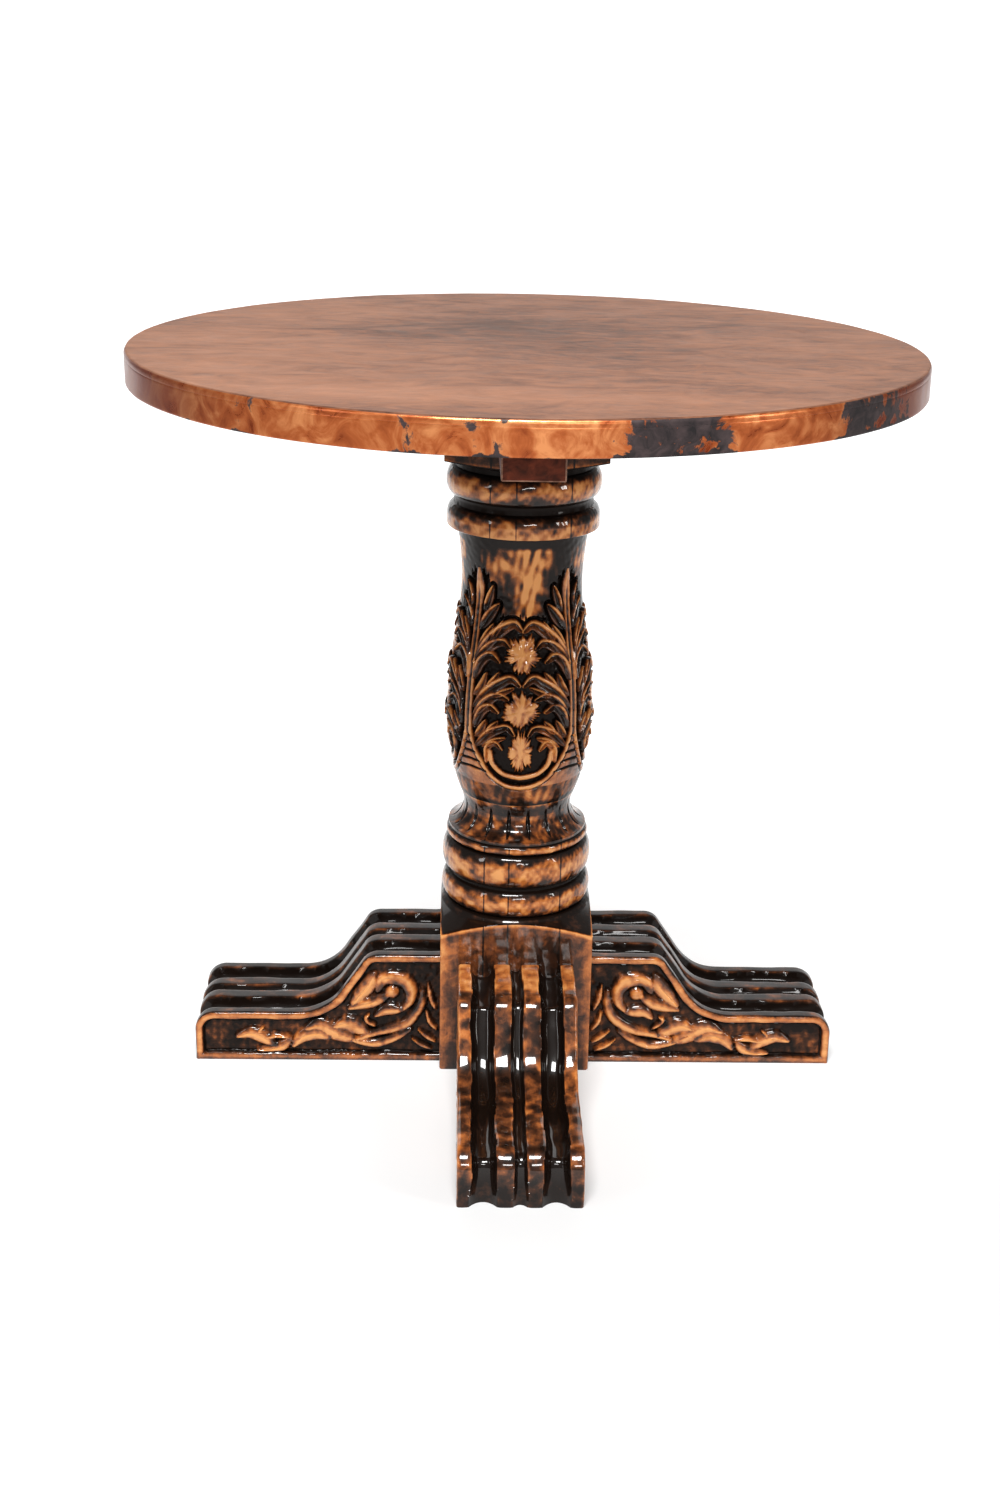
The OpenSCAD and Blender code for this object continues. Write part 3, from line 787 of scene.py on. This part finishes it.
def gouges(theta, z):
    """The pointed gouge cuts around the cove, in mm below the surface."""
    folded = (theta / (2 * pi) * GOUGES + 0.5) % 1.0 - 0.5
    across = folded * 2 * pi * GOUGE_R / GOUGES
    half = 2.3 * dome((z - GOUGE_Z) / GOUGE_HALF)
    return 2.6 * held(1.0 - (across / np.maximum(half, 0.05)) ** 2) * (half > 0.2)


def carve_post(theta, z):
    """Relief, rub and gloss of the four carved panels over the rows of the belly."""
    folded = (theta + pi / 4) % (pi / 2) - pi / 4
    signed = np.broadcast_to(folded * PANEL_R, z.shape)
    relief, rub, gloss = np.zeros((3, *z.shape))
    plain = np.zeros(z.shape, bool)
    for n in range(8):
        mine = ((theta % (2 * pi)) // (pi / 4)).astype(int) == n
        parts = carved_panel(np.abs(signed[:, mine]), z[:, mine], 1 - 2 * (n % 2), 11 + n)
        relief[:, mine], rub[:, mine], plain[:, mine], gloss[:, mine] = parts
    neck = neck_rub(signed, z, 3) * smooth_step(298.5, 301.0, z)
    # Painted shade: the two panels facing along x are made darker.
    rub -= 0.14 * smooth_step(0.45, 0.85, np.abs(np.cos(theta)))
    return relief, np.where(plain, neck, rub), np.where(plain, 0.42, gloss)


def build_post():
    theta = np.arange(COLUMNS) * 2 * pi / COLUMNS
    radius, z, rub = post_rows(theta)
    grid_theta = np.broadcast_to(theta, z.shape)
    turned = (radius < POST_HALF + 0.01) & (z > LOW_RING_Z) & (z < HEAD_Z - 1.0)
    belly = (z[:, 0] > BELLY_FOOT_Z + 0.5) & (z[:, 0] < NECK_END_Z)
    gloss = 0.12 + 0.68 * smooth_step(0.02, 0.16, rub) * (1.0 - 0.7 * (z > HEAD_Z))
    relief, rub[belly], gloss[belly] = carve_post(theta, z[belly])
    radius[belly] += relief
    cut = gouges(grid_theta, z) * ((z > COVE_Z) & (z < WAIST_Z + 7.0))
    radius -= cut
    rub -= 0.5 * (cut > 0.3)
    points = np.stack([radius * np.cos(grid_theta), radius * np.sin(grid_theta), z], axis=-1)
    radius += 0.35 * sway(points, 42.0, 5) * turned + 0.16 * sway(points, 9.0, 6) * turned
    plain = turned & ~belly[:, None]
    rub += plain * (0.22 * sway(points, 17.0, 7) + 0.16 * sway(points, 7.0, 8)) * smooth_step(0.1, 0.4, rub)
    points = np.stack([radius * np.cos(grid_theta), radius * np.sin(grid_theta), z], axis=-1)
    for line in GLUE_LINES:
        seam = hump(points[..., 0], line, 0.5)
        rub -= 0.55 * seam * ((z < COVE_Z) | (z > NECK_END_Z))
    rows = z.shape[0]
    quads = grid_faces(rows, COLUMNS, closed=True)
    bottom = list(range(COLUMNS))[::-1]
    top = list(range((rows - 1) * COLUMNS, rows * COLUMNS))
    mesh = mesh_from("post", points.reshape(-1, 3), quads, [bottom, top],
                     {"rub": rub.reshape(-1), "gloss": gloss.reshape(-1)})
    split_into_planks(mesh)


def split_into_planks(mesh):
    """Saws the carved post along its glue lines, so that each plank is a closed piece of its own."""
    rest = bmesh.new()
    rest.from_mesh(mesh)
    for name, line in zip(PLANKS, [*GLUE_LINES, None]):
        part = rest
        if line is not None:
            part = rest.copy()
            saw(part, line, keep_left=True)
            saw(rest, line, keep_left=False)
        plank = bpy.data.meshes.new(name)
        part.to_mesh(plank)
        part.free()
        piece(f"carved_{name}", plank, "carved_wood", "post", name)
    bpy.data.meshes.remove(mesh)


def saw(body, line_mm, keep_left):
    """Keeps what lies to one side of the line, and closes the sawn face."""
    whole = body.verts[:] + body.edges[:] + body.faces[:]
    bmesh.ops.bisect_plane(body, geom=whole, plane_co=(line_mm * MM, 0, 0), plane_no=(1, 0, 0),
                           dist=1e-7, clear_outer=keep_left, clear_inner=not keep_left)
    bmesh.ops.edgeloop_fill(body, edges=[e for e in body.edges if e.is_boundary])


build_post()

# ---- the feet

KNEE_R, HOLLOW_R, TOE_R = 20.0, 57.0, 22.0
SHELF_REACH, TOE_H = 146.0, 57.0
SLOPE = radians(56.0)
EDGE_R = 3.4                            # easing of the long edges
CORNER = EDGE_R * (1.0 - sqrt(0.5))
FIELD_DEPTH = 5.2                       # of the carved side panels
BORDER_W = 9.0
SIDE_ROWS = 96
SIDE_DROP = np.concatenate([[0.0, 0.006, 0.014, 0.024, 0.036], np.linspace(0.05, 1.0, SIDE_ROWS - 4)])
FLUTES = [(-35.25, 23.5, 15.0), (0.0, 12.0, 8.0), (35.25, 23.5, 15.0)]  # middle, width, depth

# Leaves of a side panel: points (distance from the post's axis, height), half width.
SIDE_LEAVES = [
    ([(147, 85), (142, 95), (130, 99), (118, 95), (111, 84), (112, 72), (118, 63)], 5.4),
    ([(99, 86), (100, 70), (106, 56), (117, 45), (132, 38), (150, 33), (168, 27)], 3.9),
    ([(137, 78), (150, 71), (163, 67), (177, 63)], 4.4),
    ([(151, 104), (156, 92), (164, 80), (174, 69)], 5.5),
    ([(112, 37), (128, 27), (148, 21), (168, 23), (188, 31)], 3.4),
    ([(121, 61), (132, 61), (141, 60), (149, 54)], 4.6),
    ([(149, 41), (156, 46), (160, 50), (157, 54)], 1.8),
    ([(157, 33), (168, 40), (180, 45), (193, 41)], 6.0),
    ([(172, 25), (190, 33), (208, 42), (223, 38)], 6.4),
    ([(198, 27), (213, 32), (226, 28), (237, 18)], 5.6),
    ([(240, 27), (255, 29), (267, 27), (274, 33), (270, 38)], 2.2),
    ([(258, 19), (272, 27), (284, 32), (298, 28)], 5.2),
    ([(241, 25), (249, 16), (261, 12.5), (275, 12)], 4.2),
    ([(84, 23), (94, 30), (103, 38)], 1.9),
    ([(88, 14), (100, 20), (110, 27)], 1.9),
    ([(83, 38), (90, 48), (94, 60)], 2.0),
    ([(84, 62), (90, 76), (92, 92)], 2.2),
]
EYE = (131.0, 81.5, 8.0)                # of the scroll: place and half width
NUT_POCKET = [(130, -16), (166, -16), (166, 16), (130, 16)]
NUT_POCKET_H = 57.0
OTHER_FEET_SHADE = -0.13                       # painted shade: the other feet's ridges are made darker than the front one's


def arc_line(centre, radius, start, end, count, outward=1.0):
    angles = np.radians(np.linspace(start, end, count, endpoint=False))
    spoke = np.stack([np.cos(angles), np.sin(angles)], axis=-1)
    return np.array(centre) + radius * spoke, outward * spoke


def straight_line(start, end, normal, count):
    t = np.linspace(0.0, 1.0, count, endpoint=False)[:, None]
    points = np.array(start) + (np.array(end) - np.array(start)) * t
    return points, np.broadcast_to(np.array(normal), points.shape)


def foot_line():
    """The foot's top line from the post to the toe's end, then down to the floor: points and normals."""
    rise = np.array([sin(SLOPE), cos(SLOPE)])
    fall = np.array([cos(SLOPE), -sin(SLOPE)])
    knee = np.array([SHELF_REACH, SHELF_H - KNEE_R])
    drop = knee[1] + KNEE_R * rise[1] - (TOE_H + HOLLOW_R - HOLLOW_R * rise[1])
    slope_end = knee + KNEE_R * rise + fall * drop / rise[0]
    hollow = slope_end + HOLLOW_R * rise
    toe = np.array([FOOT_REACH - TOE_R, TOE_H - TOE_R])
    lean = 90.0 - np.degrees(SLOPE)
    parts = [
        straight_line((POST_HALF, SHELF_H), (SHELF_REACH, SHELF_H), (0, 1), 40),
        arc_line(knee, KNEE_R, 90.0, lean, 20),
        straight_line(knee + KNEE_R * rise, slope_end, rise, 30),
        arc_line(hollow, HOLLOW_R, 180.0 + lean, 270.0, 42, -1.0),
        straight_line((hollow[0], TOE_H), (toe[0], TOE_H), (0, 1), 58),
        arc_line(toe, TOE_R, 90.0, 0.0, 34),
    ]
    top_count = sum(len(p[0]) for p in parts) + 1
    end = np.stack([np.full(SIDE_ROWS + 1, FOOT_REACH), toe[1] * (1.0 - SIDE_DROP)], axis=-1)
    parts.append((end, np.broadcast_to(np.array([1.0, 0.0]), end.shape)))
    return np.vstack([p[0] for p in parts]), np.vstack([p[1] for p in parts]), top_count


def rounding(past):
    """How far the eased edge has dropped, this far past where the easing starts."""
    return EDGE_R * (1.0 - dome(np.maximum(past, 0.0) / EDGE_R))


def flute_cut(across, walked, seed):
    """Depth of the flutes, how far each place is down inside one (0 to 1), and nearness to a lip."""
    rng = np.random.default_rng(seed)
    cut = np.zeros(across.shape)
    soft = np.zeros(across.shape)
    ending = smooth_step(walked.max() - 42.0, walked.max() - 4.0, walked)
    fade = 1.0 - 0.36 * ending
    for middle, width, depth in FLUTES:
        a, b, c, d = rng.uniform(0.0, 2 * pi, 4)
        drift = 0.6 * np.sin(walked / 21.0 + a) + 0.25 * np.sin(walked / 7.5 + b)
        uneven = 0.04 * np.sin(walked / 14.0 + c) + 0.02 * np.sin(walked / 5.0 + d)
        half = width / 2 * (1.0 + 0.22 * ending + uneven)
        v = np.abs(across - middle - drift) / half
        bowl = held(1.0 - v ** (3.0 - ending)) ** (0.55 + 0.4 * ending)
        cut = np.maximum(cut, depth * fade * bowl)
        soft = np.maximum(soft, np.exp(-np.clip(v - 1.0, 0.0, None) * half / 1.5) * (v >= 1.0))
    return cut + 0.9 * soft, held(cut / 6.0), soft


def side_relief(x, z, gap, seed):
    """Carving of a side panel: depth below the border in mm, how far the glaze is rubbed, and gloss."""
    rng = np.random.default_rng(seed)
    leaf_high, leaf_rim, _, _ = lay_leaves(SIDE_LEAVES, x, z, rng, (0.9, 0.7), (1.5, 1.5), 0.0)
    eye = dome(np.hypot(x - EYE[0], z - EYE[1]) / EYE[2])
    wavy = 0.7 * np.sin(x / 9.0 + seed) + 0.4 * np.sin(x / 3.7 + 2.0 * seed)
    inside = smooth_step(BORDER_W - 1.6, BORDER_W + 0.8, gap + 0.5 * wavy)
    groove = hump(gap + 0.5 * wavy, BORDER_W + 0.9, 1.0)
    place = as_points(x, z)
    tooling = sway(place, 9.0, seed) + 0.7 * sway(place, 22.0, seed + 3)
    level = np.maximum(leaf_high, eye * 0.95) * inside
    depth = inside * (FIELD_DEPTH + 0.45 * tooling) * (1.0 - held(level)) + 0.6 * groove
    depth -= 0.5 * level
    crown = hump(gap, BORDER_W * 0.52, 3.0) * (1.0 - inside)
    depth += 0.7 * (1.0 - crown) * (1.0 - inside)
    rub = 0.30 + 0.12 * tooling + 0.14 * level + 0.42 * leaf_rim * inside + 0.38 * eye * inside
    low_edge = 0.16 * smooth_step(11.0, 7.0, z)
    rub = rub * inside + (0.50 + 0.22 * crown - low_edge) * (1.0 - inside) - 0.35 * groove
    gloss = 0.25 + 0.75 * np.maximum(smooth_step(0.2, 0.6, level), 1.0 - inside)
    return depth, rub, gloss


def close_foot(mesh_points, rows, columns, top_count):
    """Faces that close the end against the post and the underside, leaving the pocket for the nut open."""
    side = rows * columns
    side_size = top_count * (SIDE_ROWS + 1)

    def at_side(which, column, row):
        return side + which * side_size + column * (SIDE_ROWS + 1) + row

    first_row = list(range(columns))
    end = [at_side(1, 0, j) for j in range(1, SIDE_ROWS + 1)]
    start = [at_side(0, 0, j) for j in range(SIDE_ROWS, 0, -1)]
    faces = flat_fill(mesh_points, [first_row + end + start])
    last_row = list(range((rows - 1) * columns, rows * columns))
    under_right = [at_side(1, i, SIDE_ROWS) for i in range(top_count - 1, -1, -1)]
    under_left = [at_side(0, i, SIDE_ROWS) for i in range(top_count)]
    base = len(mesh_points)
    points = np.vstack([mesh_points, [(x, y, z) for z in (0.0, NUT_POCKET_H) for x, y in NUT_POCKET]])
    pocket = [base, base + 1, base + 2, base + 3]
    faces += flat_fill(points, [last_row + under_right + under_left, pocket])
    for k in range(4):
        n = (k + 1) % 4
        faces.append([base + k, base + n, base + 4 + n, base + 4 + k])
    faces.append([base + 4, base + 5, base + 6, base + 7])
    return points, faces


def flat_fill(points, loops):
    """Triangles over a flat outline, with any further loops left as holes."""
    order = [index for loop in loops for index in loop]
    found = tessellate_polygon([[Vector(points[i]) for i in loop] for loop in loops])
    return [[order[a], order[b], order[c]] for a, b, c in found]


def build_foot(node, turn, seed):
    is_front = node == "foot_front"
    line, normal, top_count = foot_line()
    steps = np.linalg.norm(np.diff(line, axis=0), axis=1)
    walked = np.concatenate([[0.0], np.cumsum(steps)])
    rows = len(line)
    edge = FOOT_HALF - CORNER
    middle = np.linspace(1.9 - edge, edge - 1.9, 117)
    across = np.concatenate([[-edge, 0.9 - edge], middle, [edge - 0.9, edge]])
    columns = len(across)
    y = np.broadcast_to(across, (rows, columns))
    s = np.broadcast_to(walked[:, None], (rows, columns))
    cut, deep, shoulder = flute_cut(y, s, seed)
    eased = rounding(np.abs(y) - (FOOT_HALF - EDGE_R))
    near_edge = smooth_step(0.0, 3.5, edge - np.abs(y))
    inset = cut * near_edge + eased
    strip = np.stack([line[:, :1] - normal[:, :1] * inset, y, line[:, 1:] - normal[:, 1:] * inset], axis=-1)
    dapple = sway(as_points(s, y), 16.0, seed + 1)
    turn_down = smooth_step(walked[-1] - 40.0, walked[-1] - 15.0, s)
    # Painted shade: the toe's end face is made darker by the turn_down term.
    ridge_rub_and_painted_light = 0.42 + 0.16 * dapple + 0.12 * shoulder + 0.12 * (1.0 - near_edge) - 0.20 * turn_down
    # Painted light: the front foot's shelf is made lighter as sheen, and the other feet's ridges darker as
    # shade.
    ridge_rub_and_painted_light += 0.26 * smooth_step(68.0, 52.0, s) if is_front else OTHER_FEET_SHADE
    strip_gloss = (1.0 - 0.4 * turn_down) * (1.0 if is_front else 0.5)
    strip_rub_and_painted_light = ridge_rub_and_painted_light * (1.0 - deep) + 0.21 * deep * turn_down

    outline = line - normal * CORNER
    tops = outline[:top_count]
    x = np.broadcast_to(tops[:, :1], (top_count, SIDE_ROWS + 1))
    z = tops[:, 1:] * (1.0 - SIDE_DROP)
    _, gap, _ = along(line, x, z)
    places, rubs, glosses = [strip.reshape(-1, 3)], [strip_rub_and_painted_light.reshape(-1)], [strip_gloss.reshape(-1)]
    for n, sign in enumerate((-1.0, 1.0)):
        depth, rub, gloss = side_relief(x, z, np.minimum(gap, z + 0.5), seed * 3 + n)
        depth = rounding(EDGE_R - gap) + depth * smooth_step(CORNER, EDGE_R + 1.5, gap)
        depth[:, 0] = CORNER
        depth[-1, :] = CORNER
        places.append(np.stack([x, sign * (FOOT_HALF - depth), z], axis=-1).reshape(-1, 3))
        rubs.append(rub.reshape(-1))
        glosses.append(gloss.reshape(-1))
    quads = [grid_faces(rows, columns)]
    for n in range(2):
        quads.append(grid_faces(top_count, SIDE_ROWS + 1, start=rows * columns + n * x.size))
    pocket = np.zeros(8)
    wear = {"rub": np.concatenate([*rubs, pocket]), "gloss": np.concatenate([*glosses, pocket])}
    points, closing = close_foot(np.vstack(places), rows, columns, top_count)
    free = smooth_step(0.0, 9.0, points[:, 2]) * smooth_step(0.0, 6.0, points[:, 0] - POST_HALF)
    free[-8:] = 0.0
    for axis in range(3):
        points[:, axis] += 0.40 * sway(points, 34.0, seed * 5 + axis) * free - 0.25 * free * (axis == 2)
    turned = points @ np.array(Matrix.Rotation(radians(turn), 3, "Z")).T
    mesh = mesh_from(node, turned, np.vstack(quads), closing, wear)
    weld(mesh)
    piece(f"carved_{node}", mesh, "carved_wood", "foot_x" if turn % 180 == 0 else "foot_y", node)


for number, (foot, foot_turn) in enumerate(FEET.items()):
    build_foot(foot, foot_turn, 20 + 7 * number)

# ---- the copper top

RIM_COLUMNS = 540
CORNER_R, FOLD_R = 4.0, 1.5
SHEET_T = 1.0
HEM_R = 366.0
# Patches of dark patina round the edge: degrees from the front towards the right, half width, strength.
PATINA = [(17.0, 8.0, 0.95), (51.0, 11.0, 0.8), (-6.5, 2.6, 0.5), (-40.0, 3.2, 0.5), (-17.0, 2.5, 0.4),
          (96.0, 7.0, 0.7), (131.0, 14.0, 0.9), (178.0, 8.0, 0.6), (215.0, 12.0, 0.85), (262.0, 6.0, 0.6)]


def patina_at(points):
    """How strongly each place on the copper edge has gone dark."""
    turn = np.degrees(np.arctan2(points[..., 0], -points[..., 1]))
    total = np.zeros(turn.shape)
    for middle, half, strength in PATINA:
        off = np.abs((turn - middle + 180.0) % 360.0 - 180.0) / half
        total = np.maximum(total, strength * (1.0 - smooth_step(0.55, 1.35, off)))
    return 0.80 * total + 0.30 * hump(points[..., 2], RIM_Z, 2.6)


def turned_shell(name, profile, material, node):
    """A closed ring or disc of sheet metal, turned from an outline of (radius, height), gently dented."""
    columns = RIM_COLUMNS
    count = len(profile)
    theta = np.arange(columns) * 2 * pi / columns
    radius, z = (np.broadcast_to(np.array(profile)[:, k:k + 1], (count, columns)) for k in range(2))
    flat = np.stack([radius * np.cos(theta), radius * np.sin(theta), z], axis=-1)
    dented = 0.28 * (sway(flat, 95.0, 31) + 0.5 * sway(flat, 30.0, 32) - 1.0)
    upright = smooth_step(TOP_R - CORNER_R - 2.0, TOP_R - 1.0, radius)
    radius = radius + dented * upright
    z = z + dented * (1.0 - upright) * (z > SEAM_Z)
    points = np.stack([radius * np.cos(theta), radius * np.sin(theta), z], axis=-1)
    last = (count - 1) * columns
    closing = [[last + c, last + (c + 1) % columns, (c + 1) % columns, c] for c in range(columns)]
    mesh = mesh_from(name, points.reshape(-1, 3), grid_faces(count, columns, closed=True), closing,
                     {"patina": patina_at(points).reshape(-1)})
    weld(mesh)
    piece(name, mesh, "copper", material, node)
    mesh.materials.append(MATERIALS["edge"])
    at_edge = []
    for face in mesh.polygons:
        x, y, height = face.center / MM
        at_edge.append(int(height < TOP_Z - 1.3 and sqrt(x * x + y * y) > TOP_R - 2.2))
    mesh.polygons.foreach_set("material_index", at_edge)


def build_copper():
    rings = [(r, TOP_Z) for r in np.linspace(0.0, TOP_R - CORNER_R - 1.0, 66)]
    corner = [(TOP_R - CORNER_R * (1.0 - sin(a)), TOP_Z - CORNER_R * (1.0 - cos(a)))
              for a in np.linspace(0.0, pi / 2, 9)]
    skirt = [(TOP_R, TOP_Z - CORNER_R - 1.5), (TOP_R, SEAM_Z + 0.5), (TOP_R - 0.1, SEAM_Z + 0.05)]
    inner = TOP_R - SHEET_T
    ceiling = TOP_Z - SHEET_T - 0.8
    under = [(inner, SEAM_Z + 0.1), (inner, TOP_Z - CORNER_R), (inner - 2.0, ceiling), (0.0, ceiling)]
    turned_shell("copper_sheet", rings + corner + skirt + under, "top", "copper_top_sheet")
    face = [(TOP_R - 0.1, SEAM_Z - 0.05)] + [(TOP_R, z) for z in np.linspace(SEAM_Z - 0.5, RIM_Z + 1.6, 14)]
    fold = [(TOP_R - FOLD_R * (1.0 - cos(a)), RIM_Z + FOLD_R * (1.0 - sin(a)))
            for a in np.linspace(0.3, pi / 2, 5)]
    hem = [(HEM_R, RIM_Z), (HEM_R, RIM_Z + SHEET_T), (inner, RIM_Z + SHEET_T), (inner, SEAM_Z - 0.1)]
    turned_shell("copper_edge", face + fold + hem, "edge", "copper_edge_band")


build_copper()

# ---- battens with eased edges

EASED_MM = 1.6
SHORT_EDGE = 0.02  # metres; shorter edges stay sharp


def eased_batten(node, material):
    """The batten with its long edges taken off by hand, so that paler wood shows there."""
    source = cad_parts[node]
    mesh = source.data.copy()
    body = bmesh.new()
    body.from_mesh(mesh)
    bmesh.ops.transform(body, matrix=source.matrix_world, verts=body.verts[:])
    bmesh.ops.remove_doubles(body, verts=body.verts[:], dist=SAME_POINT)
    bmesh.ops.dissolve_limit(body, angle_limit=radians(1.0), verts=body.verts[:], edges=body.edges[:])
    edges = [e for e in body.edges if len(e.link_faces) == 2 and e.calc_length() > SHORT_EDGE]
    edges = [e for e in edges if e.calc_face_angle() > radians(80.0)]
    bmesh.ops.bevel(body, geom=edges, offset=EASED_MM * MM, segments=3, profile=0.5, affect="EDGES",
                    material=1)
    body.to_mesh(mesh)
    body.free()
    bevelled = [face.material_index for face in mesh.polygons]
    piece(f"eased_{node}", mesh, "batten_wood", material, node, sharp=30.0)
    mesh.materials.append(MATERIALS["batten_edge"])
    mesh.polygons.foreach_set("material_index", bevelled)


eased_batten("long_batten", "batten_y")
eased_batten("cross_batten", "batten_x")

# ---- floor, backdrop and the remaining nodes


def build_studio():
    """A pale floor that sweeps up into a backdrop."""
    half, back, bend, tall = 14.0, 9.0, 3.0, 9.0
    line = [(-half, 0.0), (back - bend, 0.0)]
    line += [(back - bend + bend * sin(a), bend - bend * cos(a)) for a in np.linspace(0.05, pi / 2, 24)]
    line.append((back, tall))
    points = np.array([(x, y, z) for y, z in line for x in (-half, half)]) / MM
    mesh = mesh_from("studio_floor", points, grid_faces(len(line), 2))
    sweep = in_scene("studio_floor", mesh)
    mesh.materials.append(MATERIALS["floor"])
    mesh.polygons.foreach_set("use_smooth", np.ones(len(mesh.polygons), bool))


build_studio()

NODE_FINISH = {
    "copper_tacks": "edge", "upper_board_disc": "board", "lower_board_disc": "board",
    "board_screws": "steel", "lag_screws": "steel", "lag_washers": "steel",
    "foot_dowels": "dowel", "foot_bolts": "steel", "foot_washers": "steel", "foot_nuts": "steel",
}
for node, finish in NODE_FINISH.items():
    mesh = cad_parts[node].data
    mesh.materials.clear()
    mesh.materials.append(MATERIALS[finish])
